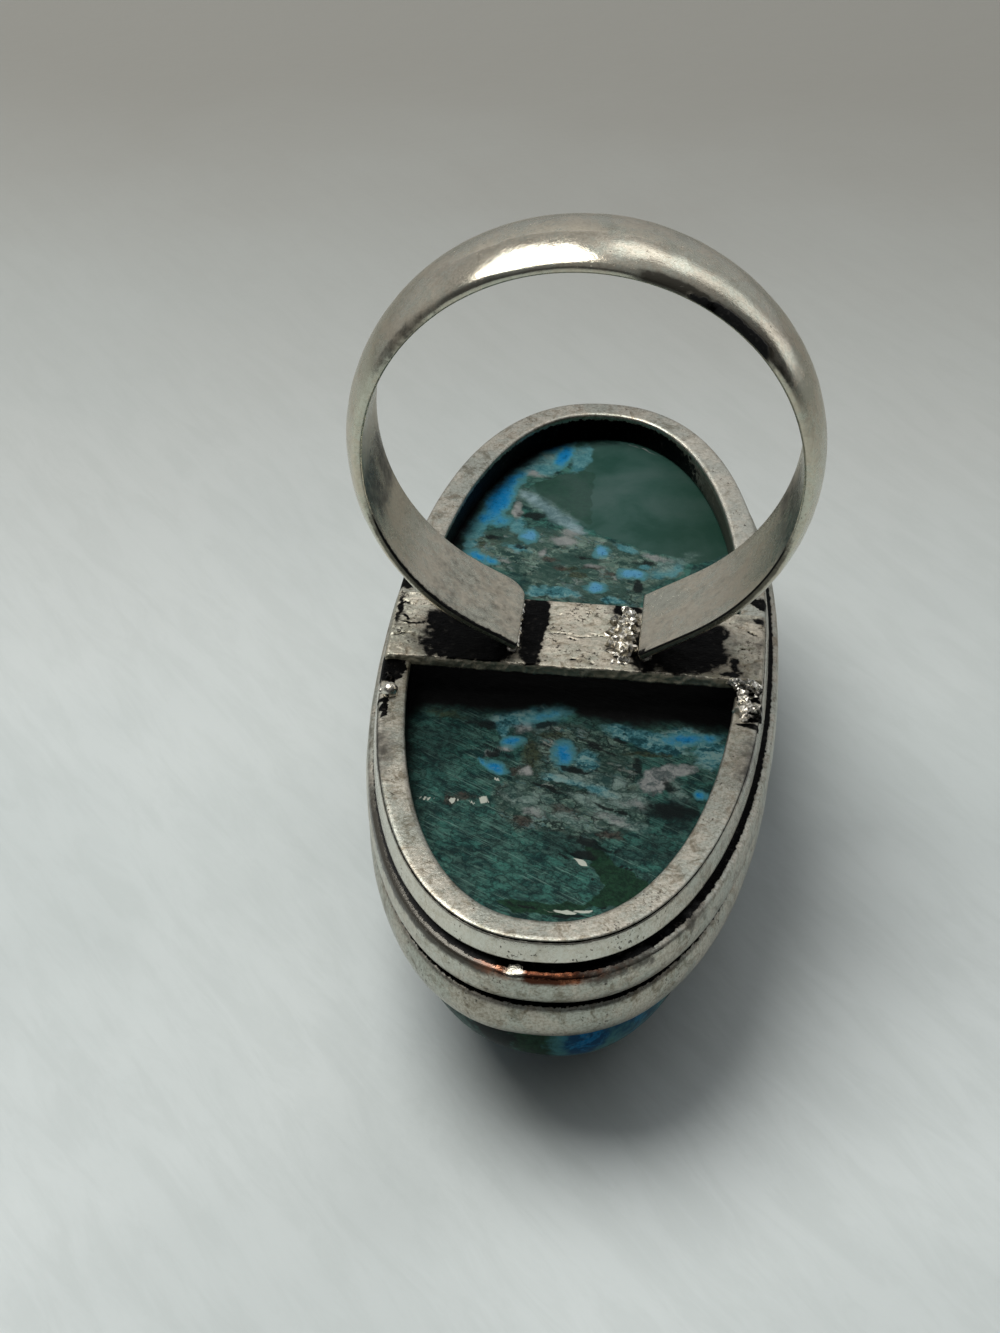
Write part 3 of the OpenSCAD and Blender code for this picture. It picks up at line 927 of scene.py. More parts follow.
BRIDGE_CRACKS = [
    [-0.75, -0.42, 0.5, 0.05, -6, 1], [0.3, -0.55, 0.45, 0.045, 6, 1],
    [0.95, -0.35, 0.3, 0.05, -12, 1], [-0.2, -0.78, 0.25, 0.035, -10, 1],
    [-0.05, -2.3, 0.2, 0.07, 0, 1.2], [0.75, -2.45, 0.12, 0.05, 0, 1], [-0.9, 1, 0.09, 0.05, 0, 1],
    [0.4, 1.3, 0.12, 0.04, 20, 1], [-7.9, -1.3, 0.4, 0.06, 20, 1], [-8, 1.2, 0.45, 0.07, -25, 1],
    [7.6, -0.6, 0.35, 0.06, 15, 1], [7.8, 0.6, 0.3, 0.06, -35, 1],
]
print("marks on the bridge:", len(BRIDGE_SOOT), "of soot and", len(BRIDGE_CRACKS), "cracks")

# %% Build the bridge
def bridge_loop():
    """A closed loop of [along Y from the strip's middle, height], with soft edges."""
    half, soft = BRIDGE_W / 2, 0.09
    top = [[y, BRIDGE_TOP] for y in np.linspace(-half + soft, half - soft, 88)]
    near_edge, far_edge = ([y, BRIDGE_TOP - 0.03] for y in (-half + 0.03, half - 0.03))
    drop = np.linspace(BRIDGE_TOP - soft, BRIDGE_LOW + 0.05, 8)
    far = [[half, z] for z in drop]
    under = [[y, BRIDGE_LOW] for y in np.linspace(half - 0.05, -half + 0.05, 14)]
    near = [[-half, z] for z in drop[::-1]]
    return np.array([near_edge] + top + [far_edge] + far + under + near)


def lay_bridge(loop, steps):
    """The loop at each step across the setting, cut to the oval and a little lower at both ends."""
    y, z = BRIDGE_Y + loop[:, 0], loop[:, 1]
    narrowing = 1 - (np.abs(y) / (RIM_L / 2)) ** SQUARENESS
    end = RIM_W / 2 * narrowing ** (1 / SQUARENESS) - 0.06
    rows = []
    for u in np.linspace(-1, 1, steps):
        sunk = 0.08 * fade(1 - abs(u), 0, 0.012)
        rows.append(np.c_[u * end, y, z - sunk * (z > RIM_Z)])
    return np.concatenate(rows)


def roughen_bridge(points):
    """Makes the strip's top and its near edge lumpy, with cracks and with pitted ends."""
    top = points[:, 2] > RIM_Z + 0.1
    front = fade(points[:, 1] - BRIDGE_Y, 0.02 - BRIDGE_W / 2, 0.2 - BRIDGE_W / 2)
    cracks = smooth(chart(points, BRIDGE_CRACKS, 0.07, 0.35, 5), -0.5, 0.3)
    pitted = np.abs(waver(points, 0.5, 14)) * smooth(np.abs(points[:, 0]), 6.5, 7.6)
    lift = 0.03 * waver(points, 2.6, 2) + 0.008 * waver(points, 0.4, 3) - 0.025 - 0.03 * pitted
    points[:, 2] += top * (lift - 0.05 * cracks)
    points[:, 1] += front * (0.07 * waver(points, 0.9, 7) + 0.045 * waver(points, 0.28, 8) + 0.06)


def burn_bridge(piece):
    """Stores the strip's soot, its brown right end and the dirt on its sides."""
    mesh = piece.data
    points = points_of(mesh)
    soot = np.clip(chart(points, BRIDGE_SOOT, 0.25, 0.7) * 1.1 + 0.5, 0, 1.3)
    cracks = smooth(chart(points, BRIDGE_CRACKS, 0.07, 0.35, 5), -0.3, 0.5)
    side = fade(points[:, 2], BRIDGE_TOP - 0.14, BRIDGE_TOP - 0.05)
    brown = smooth(points[:, 0], 6.4, 7.4) * smooth(waver(points, 0.9, 15), -0.4, 0.4)
    store(mesh, "black", np.where(side > 0.5, 0.1, np.maximum(soot, 1.2 * cracks)))
    store(mesh, "dull", 0.45 * brown)
    store(mesh, "grime", side)


def build_bridge(steps=330):
    """The strip as one closed tube, from the left end to the right one."""
    loop = bridge_loop()
    points = lay_bridge(loop, steps)
    roughen_bridge(points)
    return make_piece("bridge_strip", points, capped_faces(steps, len(loop)), BRIDGE_METAL)


bridge = build_bridge()
burn_bridge(bridge)

# %% [markdown]
# ## Solder
#
# Solder froze here as small lumps: a ball on the left rim, ragged lumps on the right rim, and a
# crumpled heap against the band's right tip. Each lump starts as a few overlapping balls. A voxel
# remesh fuses them into one skin, and noise in the mesh creases it. The ragged ones are then
# thinned to fewer, flat faces, so that they glint like crumpled foil.

# %% Lumps: [voxel, crumple, share of faces kept, rows of x, y, height over the rim, radius]
SOLDER = {
    "solder_ball": (0.03, 0.015, 1.0, [
        [-7.80, -5.42, 0.14, 0.37], [-8.15, -5.3, -0.02, 0.2],
        [-7.95, -4.35, -0.04, 0.2], [-8.05, -4.1, -0.06, 0.18]]),
    "solder_right_rim": (0.045, 0.13, 0.10, [
        [7.0, -3.1, 0.2, 0.22], [7.3, -3.25, 0.2, 0.3], [7.75, -3.2, 0.18, 0.34],
        [8.05, -3.45, 0.1, 0.34], [7.5, -3.75, 0.06, 0.3], [8.2, -3.1, 0.1, 0.22],
        [7.6, -4.4, 0.1, 0.34], [8.0, -4.7, 0.02, 0.36], [7.5, -5.0, -0.02, 0.34],
        [7.8, -5.4, -0.05, 0.32], [8.1, -5.3, -0.1, 0.3], [7.55, -4.0, 0.04, 0.3]]),
    "solder_heap": (0.045, 0.16, 0.08, [
        [2.2, -2.2, 0.2, 0.34], [1.95, -1.6, 0.22, 0.4], [1.7, -1.0, 0.24, 0.42],
        [2.2, -0.7, 0.38, 0.46], [1.6, -0.2, 0.2, 0.4], [2.1, 0.1, 0.36, 0.46],
        [1.8, 0.7, 0.24, 0.4], [2.3, 0.9, 0.36, 0.42], [2.1, 1.45, 0.26, 0.34],
        [2.35, -1.4, 0.3, 0.4], [1.45, -1.5, 0.1, 0.28], [1.6, -2.3, 0.1, 0.26]]),
    "solder_seams": (0.05, 0.05, 1.0, [
        [side * x, y, 0.36, 0.3] for side, x in ((-1, TIP_LEFT + 0.25), (1, TIP_RIGHT + 0.35))
        for y in np.linspace(-1.9, 1.2, 10)]),
}
print("balls in each lump:", {name: len(rows[-1]) for name, rows in SOLDER.items()})

# %% Build the lumps
def pile_balls(name, balls):
    """An object that holds overlapping balls."""
    pile = bmesh.new()
    for x, y, height, radius in balls:
        place = Matrix.Translation((x * MM, y * MM, (RIM_Z + height) * MM))
        bmesh.ops.create_icosphere(pile, subdivisions=3, radius=radius * MM, matrix=place)
    mesh = bpy.data.meshes.new(name)
    pile.to_mesh(mesh)
    pile.free()
    return add_object(name, mesh)


def crease(mesh, depth):
    """Pushes each point along its normal by folded noise."""
    points = points_of(mesh)
    normals = np.array([v.normal[:] for v in mesh.vertices])
    wide, fine = waver(points, 0.5, 10, 2), waver(points * [1.6, 1, 1], 0.3, 9, 2)
    folds = 1 - 2 * np.abs(wide) - 0.8 * np.abs(fine)
    push = depth * (folds - 0.6 + 0.5 * waver(points, 0.8, 16, 2))
    set_points(mesh, points + normals * push[:, None])


def burn_solder(piece, ragged):
    """Stores the soot: at the foot of smooth lumps and beside the ball, or over ragged ones."""
    mesh = piece.data
    points = points_of(mesh)
    height = points[:, 2] - RIM_Z
    black = 0.6 * fade(height, -0.1, 0.0)
    if piece.name == "solder_ball":
        black = np.maximum(black, 0.95 * smooth(points[:, 1], -5.05, -4.8))
    if ragged:
        patchy = smooth(waver(points, 0.8, 23, 2), -0.3, 0.4)
        black = 1.05 - 0.7 * smooth(height, 0.0, 0.45) - 0.6 * patchy
        store(mesh, "bright", np.full(len(points), 0.5))
    store(mesh, "black", black)


def build_lumps(name, voxel, crumple, kept, balls):
    """Fuses balls into one skin, creases it, and thins it to flat faces where it is ragged."""
    made, ragged = pile_balls(name, balls), kept < 1
    fuse = made.modifiers.new("Fuse", "REMESH")
    fuse.mode, fuse.voxel_size = "VOXEL", voxel * MM
    settle(made)
    crease(made.data, crumple)
    if ragged:
        made.modifiers.new("Thin", "DECIMATE").ratio = kept
        settle(made)
        made.data.shade_flat()
    else:
        made.data.shade_smooth()
    made.data.materials.clear()
    made.data.materials.append(SOLDER_METAL)
    burn_solder(made, ragged)
    print(name, len(made.data.vertices), "points")
    return made


lumps = [build_lumps(name, *rows) for name, rows in SOLDER.items()]

# %% [markdown]
# ## The stone
#
# The stone is sawn flat at the back and domed in front. It is a block of many small stones bound
# together, so its colours come in patches. The back is its best-seen side, and its mesh is fine
# there: it carries one number per colour, charted as ellipses and a few outlines in
# millimetres, with a wandering edge. The finish tears those edges further.

# %% The stone's colours, charted as rows of [x, y, half length, half width, turn, strength]
STONE_CHART = {
    "blue": [
        [-2.35, -6.25, 0.5, 0.42, 10, 1], [-0.05, -6.85, 0.48, 0.95, 5, 1.1],
        [-2.85, -8.15, 0.62, 0.38, -22, 1], [-3.45, -7.85, 0.35, 0.22, -40, 0.8],
        [5.15, -5.2, 0.95, 0.45, 8, 1], [6.2, -5, 0.5, 0.35, 0, 0.6], [6, -9, 0.34, 0.3, 0, 1],
        [-0.9, -4.2, 0.9, 0.45, 35, 0.45], [-2, 17.6, 0.45, 1.3, -10, 1.2],
        [-2.7, 18.4, 0.6, 0.8, -40, 1], [-4.85, 13.1, 0.7, 2.4, -8, 1.4],
        [-4.35, 15, 0.5, 1, -25, 1], [-5.4, 11.3, 0.5, 0.9, -20, 0.8],
        [-4.7, 11.2, 0.6, 0.5, 0, 0.6], [-3.1, 10, 0.45, 0.6, 0, 1], [0.5, 9.05, 0.42, 0.5, 0, 1],
        [2.1, 7.3, 0.7, 0.42, -8, 1], [0.45, 5.95, 0.55, 0.42, 12, 1],
        [-5.35, 7.9, 0.8, 0.34, -42, 1], [-4.7, 7.6, 0.4, 0.25, -40, 0.7],
    ],
    "aqua": [
        [3, -5.2, 1.4, 0.6, -15, 1.3], [4.1, -5.8, 1.2, 0.55, -15, 1.2],
        [2.4, -4.9, 0.6, 0.35, 0, 0.8], [6.3, -6, 0.7, 1, 0, 0.9], [5.2, -5.1, 1.2, 0.6, 8, 0.8],
        [1, -7.2, 0.5, 0.65, 0, 0.7], [0.3, -8.6, 1.1, 0.3, -8, 0.8],
        [1.6, -9.1, 1, 0.35, -28, 0.6], [-1.8, -4.4, 1.6, 0.7, 20, 1],
        [-2.8, -5.4, 0.22, 0.5, 10, 0.7], [-3.2, 17.3, 1.1, 1, 35, 1], [-3, 16.3, 0.9, 0.7, 10, 1],
        [-1.1, 17.4, 0.5, 1.3, -8, 0.95], [-4.4, 16.3, 0.6, 0.8, -30, 0.8],
        [-1.2, 5.4, 0.95, 0.42, -8, 0.9], [-2.3, 5.3, 0.55, 0.4, 0, 0.9],
        [1.4, 5, 0.7, 0.28, 0, 0.9], [3.75, 7.9, 1, 0.55, 50, 1], [2.7, 8, 0.4, 0.22, 0, 1],
        [1.7, 9.4, 0.8, 0.25, -27, 0.9], [-3.7, 10.8, 0.3, 0.7, 0, 0.8],
        [-5.8, 10.2, 0.5, 1, -10, 0.8], [-5.9, 8.9, 0.4, 0.4, 0, 0.7],
        [-3.6, 8.9, 0.6, 0.3, -20, 0.5],
    ],
    "mist": [
        [1.4, -8.4, 1.9, 0.5, -8, 1], [3, -9.7, 1.1, 0.65, -15, 1.1],
        [2.8, -11.1, 1.4, 0.4, -25, 1.1], [-1.3, -10.2, 1.3, 0.6, -25, 0.45],
        [1.4, -10, 1.2, 0.4, -28, 0.8], [0.6, -11.3, 1, 0.35, -28, 0.6],
        [5, -8.9, 0.35, 0.8, 18, 0.8], [-2.9, 13, 1.6, 0.5, -38, 0.5],
        [-4.9, 14.2, 0.7, 1.2, -25, 0.5], [-2.6, 17.9, 1, 1.2, -35, 0.5],
        [3.9, 8.4, 1.2, 0.5, 40, 0.6],
    ],
    "lilac": [
        [-1.9, -5.2, 0.5, 0.45, 0, 0.6], [-2.5, -6.72, 0.5, 0.2, 10, 0.8],
        [-3.2, -7.3, 0.3, 0.25, 0, 0.5], [3.2, -9.9, 0.6, 0.3, -10, 0.5],
        [2.5, -11.1, 0.9, 0.25, -25, 0.4], [-1.5, -8.25, 0.28, 0.36, 0, 1],
        [-0.9, -10.9, 0.5, 0.3, -20, 0.4], [-1, 10.6, 0.6, 0.5, 0, 1],
        [-1.3, 9.7, 0.8, 0.45, 0, 1], [-3.9, 12.2, 0.25, 0.9, 0, 0.7],
        [-3.5, 15.7, 0.7, 0.3, -20, 0.7], [3.1, 8.8, 0.9, 0.28, -15, 0.8],
        [0.2, 7.8, 0.6, 0.22, 0, 0.6], [-2.3, 8.6, 0.25, 0.5, -20, 0.6],
        # The last row on the next line is a painted highlight: a thin pale arc along the edge of the
        # far wall.
        [-4, 7.6, 0.3, 0.3, 0, 0.6], [2, 18.6, 1.2, 0.06, -27, 0.8],
    ],
    "olive": [
        [-1.4, -7.1, 0.5, 1.6, 8, 0.9], [-0.6, -5.6, 0.9, 0.4, 10, 0.6],
        [3.6, -6.45, 1.5, 0.18, 3, 0.8], [-5.3, 9, 0.3, 0.3, 0, 1], [-0.5, 6.9, 0.5, 0.3, 0, 1],
        [-0.9, 7.4, 0.6, 0.25, 10, 0.8], [-4.7, 9.3, 0.5, 0.3, 0, 0.6],
        [-5.3, -4.7, 1.2, 0.45, -8, 0.7],
    ],
    "brown": [
        [-4, -10.25, 1, 0.35, 5, 0.9], [-4.6, -10.7, 0.5, 0.3, 0, 0.8],
        [-2, -8.2, 0.3, 0.4, 0, 0.9], [-1.3, -11.6, 0.6, 0.4, -30, 0.9],
        [0.3, -10.7, 0.8, 0.45, -10, 0.7], [2.5, -12.1, 0.9, 0.4, -10, 0.8],
        [-1.9, 8, 0.6, 0.3, 0, 0.9], [0.3, 7.65, 0.8, 0.28, 5, 0.8],
        [-1.4, 7.4, 0.5, 0.25, 0, 0.7], [1, 7.2, 0.5, 0.2, 0, 0.6],
    ],
    "dark": [
        [1.3, -13.4, 0.7, 0.3, -15, 1.1], [0.6, -13.7, 0.5, 0.12, -25, 1.1],
        [4.8, -10.2, 1.5, 0.7, 0, 0.8], [4.6, -8.5, 0.3, 0.6, 30, 0.6],
        [1.6, -12.7, 1.6, 0.3, -18, 0.6], [-3.6, -5.2, 0.9, 0.4, 0, 0.6],
        [-0.4, -9.3, 1.2, 0.14, -25, 0.7], [2.3, -10.4, 1.3, 0.14, -22, 0.8],
        [3.2, -7.3, 0.25, 0.9, 15, 0.6], [1.6, -6.3, 1.3, 0.14, -35, 0.6],
        [-3.1, -6.9, 1.2, 0.12, -30, 0.5], [0.5, -7.9, 0.9, 0.12, -10, 0.7],
        [-3.1, -7.3, 0.3, 0.25, 0, 0.7], [-1, -4.9, 0.7, 0.25, 20, 0.5],
        [2.4, -5.7, 0.5, 0.2, -30, 0.5], [3.15, -14.1, 1.45, 0.07, -36, 1],
        [1.9, -15, 0.3, 0.07, -60, 0.9], [-0.9, -16.95, 1.2, 0.08, -12, 1],
        [1.2, -17.27, 1.3, 0.08, 5, 1], [2.6, -16.45, 0.7, 0.06, 25, 0.8],
        [-3.2, 11.8, 0.8, 0.4, -20, 0.6], [2.8, 8.35, 0.7, 0.22, 0, 0.6],
        [2.4, 6.3, 0.35, 0.6, 0, 0.8], [-0.2, 8.4, 0.6, 0.2, 0, 0.5],
        [-4.9, 9.6, 0.6, 0.3, 0, 0.5], [-3.4, 9, 0.5, 0.2, 0, 0.5],
    ],
    "white": [
        [-5.6, -10.55, 0.38, 0.14, 5, 1.2], [-4.45, -10.55, 0.22, 0.15, 0, 1.4],
        [-3.15, -10.35, 0.3, 0.2, -35, 1.3], [-3.6, -10.65, 0.26, 0.1, -20, 1.2],
        [-2.8, -8.98, 0.28, 0.17, 0, 0.9], [1.3, -13.92, 0.38, 0.13, -28, 1.6],
        [0.75, -17.08, 0.8, 0.11, -2, 1.3], [1.6, -16.92, 0.6, 0.11, 14, 1.2],
    ],
    # Soft darker zones: partly darker stone, partly painted shade beside the walls and in front of the
    # bridge.
    "dim": [
        [-5.4, -7, 1.5, 2.3, 0, 1.2], [-4.3, -5.1, 1.7, 0.9, 0, 1.1],
        [4.9, -10.4, 1.5, 1.3, 0, 1.3], [4.4, -12.5, 1.2, 1.5, 0, 0.9],
        [0.3, -13, 1.7, 0.7, -25, 0.9],
    ],
}
print("charted patches:", {name: len(rows) for name, rows in STONE_CHART.items()})

# %% Patches with corners: outlines of (x, y) points, one or more to a colour
STONE_OUTLINES = {
    "lilac": [
        [(3.4, -8.2), (3.7, -7.4), (4.4, -7.05), (5.8, -6.95), (6, -7.25), (5.1, -7.75),
         (4.7, -8.3), (4.35, -9.1), (3.5, -9.15), (3.25, -8.7)],
    ],
    "vein": [
        [(-4.3, 14.3), (-3.9, 13.3), (-3.2, 12.4), (-2.2, 11.4), (-1.3, 10.5), (-0.4, 10.2),
         (-0.1, 10.7), (-1.1, 12), (-2.2, 13.1), (-3.3, 14)],
    ],
    "pine": [
        [(1.4, -12.8), (2.15, -13.1), (2.75, -13.85), (3.45, -14.35), (4.35, -15.05),
         (4.3, -15.65), (3.6, -16.35), (2.8, -16.55), (1.2, -16.65), (1.75, -16.2), (2.2, -15.7),
         (2.3, -15.2), (2, -14.7), (1.75, -14.1), (1.5, -13.6)],
        [(-2.15, -16.65), (-1.2, -16.65), (1.2, -16.45), (1.75, -16.6), (1.3, -17.3),
         (-1.25, -17.4)],
        [(-3.3, 14.7), (-2.2, 15.6), (-1.1, 16.3), (-0.3, 16.1), (-0.3, 13.5), (-0.1, 11.2),
         (-1, 11.9), (-2.2, 13.1), (-3.1, 13.9)],
    ],
    "smooth": [
        [(-1.2, 18.9), (1.5, 19.2), (3.6, 18.2), (5.4, 15.4), (6.6, 11.5), (6.8, 9.6), (5, 8.4),
         (4.2, 8.9), (2.5, 9.3), (1, 10.2), (-0.4, 10.9), (-1.5, 12), (-3.1, 13.7), (-3.5, 14.5),
         (-2.6, 15.4), (-1, 16.3), (-0.7, 17.3)],
    ],
    "speckle": [
        [(-1.8, -5), (0.5, -4.6), (2.2, -5.4), (3.2, -6.5), (3.3, -8.8), (3.9, -9.8), (3.9, -11.3),
         (2.4, -12.4), (1.4, -12.9), (0.2, -12.2), (-1.6, -12.2), (-2.6, -11.2), (-2.9, -9.6),
         (-2.1, -8.8), (-1.8, -7)],
        [(-5.8, 9.9), (-4, 10.6), (-2, 10.8), (0.8, 10.1), (2.6, 9.3), (4, 8.9), (4.6, 7.6),
         (3, 6.2), (2.6, 4.6), (-2.6, 4.6), (-2.9, 6.4), (-4.6, 7), (-6.3, 8.4)],
    ],
    # Painted shadows on the sawn back: the bridge's shadow in front of it, and the left wall's shadow
    # in the near and the far window.
    "shade": [
        [(-7.6, 2.4), (7.6, 2.4), (7.6, -4.1), (6.2, -4.2), (5.2, -3.9), (3, -4.3), (1.5, -4.2),
         (0.6, -4), (0.1, -3.5), (-0.8, -3.3), (-1.6, -3.7), (-3, -4.1), (-5, -4), (-6.6, -4.1),
         (-7, -4.8), (-7.6, -4.6)],
        [(-7.3, -3), (-7.1, -5), (-6.8, -8), (-6.45, -10), (-6, -12.2), (-7.2, -12.5), (-7.8, -9),
         (-8.2, -3)],
        [(-6.75, 7.5), (-6.4, 9.9), (-5.65, 12.9), (-4.4, 15.9), (-3, 17.9), (-1.6, 18.95),
         (0.5, 19.5), (0.5, 20.2), (-2.3, 19.6), (-4.2, 18.2), (-5.6, 16.2), (-6.9, 13),
         (-7.5, 7.5)],
    ],
}
# How far in mm an outline's edge fades on either side, where it isn't 0.4.
OUTLINE_EDGES = {"shade": 0.9}
CHIPS = [[1.3, -13.4, 0.9, 0.34, -20, 1.0], [2.3, -12.9, 0.7, 0.3, -40, 0.6]]
print("outlined patches:", {name: len(rows) for name, rows in STONE_OUTLINES.items()})

# %% Patches of the dome
# The dome's face isn't in the picture, so its patches are noise: (size in mm, how rare).
DOME_PATCHES = {
    "blue": (4.5, 0.75), "aqua": (3.0, 1.1), "lilac": (2.6, 1.5), "olive": (3.2, 1.0),
    "brown": (2.8, 1.1), "mist": (2.6, 1.1), "dark": (2.4, 0.7), "white": (0.8, 2.4),
    "pine": (3.6, 0.7), "speckle": (4.0, 0.0), "smooth": (6.0, 0.8), "shade": (5.0, 9.0),
    "vein": (3.0, 1.5), "dim": (4.0, 9.0),
}
# What shows of the dome below the lip: blue to the right, dark and green in the middle.
DOME_EDGE = {
    "blue": [[5.2, -17.6, 3.6, 1.5, 52, 1.4], [2.6, -19.5, 1.8, 1.2, 8, 1.4]],
    "dark": [[-1.9, -19.8, 1.2, 1.2, 0, 1.3]],
    "pine": [[0.2, -19.8, 1.3, 1, 0, 1]],
}
print("patches on the dome:", ", ".join(DOME_PATCHES))

# %% [markdown]
# ## The stone's finish
#
# The finish is laid on like paint, one layer over another, and each layer has its own mask. Noise
# alone would look like any other stone, so most masks are the charted numbers with a torn edge.
# The layers share a few patterns, which are made first: saw strokes, blotches, and the tone and
# the cracks of the fragments. The fine ones fade towards the far end, which looks quieter.

# %% Patterns that the layers share
STONE, tree, shader, place = new_finish("blotched_stone")
share = partial(calc, tree, "MULTIPLY")
step = partial(ease, tree)
mask = partial(torn_mask, tree, place)
way = put(tree, "ShaderNodeSeparateXYZ", {0: place}).outputs
strokes = cloud(tree, stretched(tree, place, (0.8, 7.0, 3.0), -28), 1.3, 6.0, 0.78, 0.4)
fine = cloud(tree, place, 5.0, 5.0, 0.75, 0.3)
blotches = cloud(tree, place, 0.9, 6.0, 0.7, 0.6)
slow = cloud(tree, place, 0.32, 4.0, 0.55, 0.3)
large = use(tree, FRAGMENTS, {"Place": place, "Scale": 1.25})
small = use(tree, FRAGMENTS, {"Place": place, "Scale": 3.0})
tone = calc(tree, "ADD", share(large["Tone"], 0.6), share(small["Tone"], 0.4))
crack = calc(tree, "MAXIMUM", large["Crack"], share(small["Crack"], 0.45))
sharp = step(way["Y"], 3.0, 8.0, 1.0, 0.35)
print("nodes so far:", len(tree.nodes))

# %% Sawn teal, with faint fragments and with pale and dark saw strokes
def over(shown, amount, above):
    """One more layer over the stone's colours so far."""
    return tint(tree, amount, shown, above)


teal = step(blotches, 0.40, 0.60)
shown = tint(tree, teal, (0.004, 0.027, 0.026), (0.034, 0.123, 0.100))
shown = over(shown, share(step(tone, 0.3, 0.8), 0.4), (0.070, 0.135, 0.110))
faint = share(crack, step(way["Y"], 3.0, 6.0, 0.65, 0.4))
shown = over(shown, faint, (0.001, 0.008, 0.008))
bundled = share(step(slow, 0.40, 0.56, 0.25, 0.65), sharp)
shown = over(shown, share(step(strokes, 0.53, 0.66), bundled), (0.085, 0.190, 0.150))
shown = over(shown, share(step(strokes, 0.48, 0.36), bundled), (0.001, 0.009, 0.010))
shown = over(shown, share(step(fine, 0.47, 0.37, 0.0, 0.75), sharp), (0.002, 0.014, 0.014))
sawn = cloud(tree, stretched(tree, place, (0.35, 9.0, 3.0), -30), 1.6, 3.0, 0.6)
shown = over(shown, share(step(sawn, 0.60, 0.68, 0.0, 0.6), sharp), (0.130, 0.230, 0.195))
print("nodes so far:", len(tree.nodes))

# %% The quiet, greyer part of the far window, and the dark green wedges
def ramp(tree, value, stops):
    """A colour for each value: the stops are (place, colour), from low to high."""
    made = put(tree, "ShaderNodeValToRGB", {"Fac": value})
    line = made.color_ramp
    line.elements[0].position, line.elements[0].color = stops[0][0], colour(stops[0][1])
    line.elements[1].position, line.elements[1].color = stops[-1][0], colour(stops[-1][1])
    for spot, shade in stops[1:-1]:
        line.elements.new(spot).color = colour(shade)
    return made.outputs[0]


still = ramp(tree, slow, [(0.36, (0.015, 0.051, 0.039)), (0.48, (0.028, 0.069, 0.057)),
                          (0.62, (0.043, 0.083, 0.073))])
still = over(still, step(way["X"], 1.0, 5.5, 0.0, 0.6), (0.008, 0.030, 0.018))
quiet = mask("smooth", -0.1, 0.5, 1.2, 0.5)
shown = over(shown, quiet, still)
pine = tint(tree, step(fine, 0.4, 0.62), (0.002, 0.015, 0.007), (0.008, 0.037, 0.017))
wedge = share(mask("pine", -0.05, 0.5, 2.0, 0.25), step(way["Y"], 3.0, 8.0, 0.95, 0.4))
shown = over(shown, wedge, pine)
print("nodes so far:", len(tree.nodes))

# %% Fragments of grey-green, pale green, a little brown and lilac grey, with dark cracks
grey = ramp(tree, tone, [
    (0.12, (0.006, 0.024, 0.022)), (0.28, (0.035, 0.075, 0.062)), (0.44, (0.095, 0.155, 0.125)),
    (0.58, (0.155, 0.225, 0.185)), (0.68, (0.050, 0.065, 0.052)), (0.76, (0.065, 0.140, 0.140)),
    (0.90, (0.190, 0.205, 0.185))])
grey = over(grey, step(strokes, 0.53, 0.66, 0.0, 0.6), (0.170, 0.215, 0.175))
grey = over(grey, share(step(strokes, 0.47, 0.36, 0.0, 0.9), sharp), (0.003, 0.009, 0.008))
grey = over(grey, share(share(crack, 0.9), sharp), (0.002, 0.008, 0.007))
grey = over(grey, share(step(fine, 0.50, 0.36, 0.0, 0.6), sharp), (0.006, 0.012, 0.010))
gaps = share(step(blotches, 0.54, 0.44), step(way["Y"], 3.0, 6.0, 0.5, 0.75))
grey = over(grey, gaps, (0.018, 0.050, 0.040))
shown = over(shown, share(mask("speckle", -0.2, 1.4, 0.9, 0.7), 0.92), grey)
olive = tint(tree, step(fine, 0.4, 0.6), (0.006, 0.010, 0.005), (0.042, 0.048, 0.022))
shown = over(shown, share(mask("olive", 0.0, 1.2, 2.2, 0.5), 0.75), olive)
brown = tint(tree, step(fine, 0.4, 0.6), (0.008, 0.007, 0.005), (0.055, 0.042, 0.034))
shown = over(shown, share(mask("brown", 0.0, 1.2, 2.2, 0.5), 0.75), brown)
print("nodes so far:", len(tree.nodes))

# %% [markdown]
# The bright patches are aqua, pale mist, lilac, pale veins and blue. In each the colour drifts
# with the fragments' tone and the fine noise. Blue also has a soft pale rim outside, and a paler
# part in the far window.

# %% Aqua, mist, lilac, veins and blue
inside = calc(tree, "ADD", share(tone, 0.4), share(fine, 0.6))
inside = calc(tree, "ADD", 0.52, share(calc(tree, "SUBTRACT", inside, 0.52), sharp))
aqua = ramp(tree, inside, [(0.36, (0.006, 0.040, 0.048)), (0.46, (0.030, 0.120, 0.140)),
                           (0.54, (0.075, 0.200, 0.215)), (0.62, (0.160, 0.270, 0.260))])
shown = over(shown, share(mask("aqua", -0.25, 1.3, 1.8, 0.5), 0.95), aqua)
mist = ramp(tree, inside, [(0.36, (0.018, 0.050, 0.046)), (0.47, (0.090, 0.150, 0.132)),
                           (0.58, (0.180, 0.250, 0.222))])
mist = over(mist, share(crack, 0.5), (0.004, 0.016, 0.015))
shown = over(shown, share(mask("mist", -0.3, 1.6, 1.3, 0.8), 0.9), mist)
lilac = ramp(tree, inside, [(0.34, (0.070, 0.085, 0.085)), (0.48, (0.185, 0.195, 0.190)),
                            (0.62, (0.270, 0.275, 0.262))])
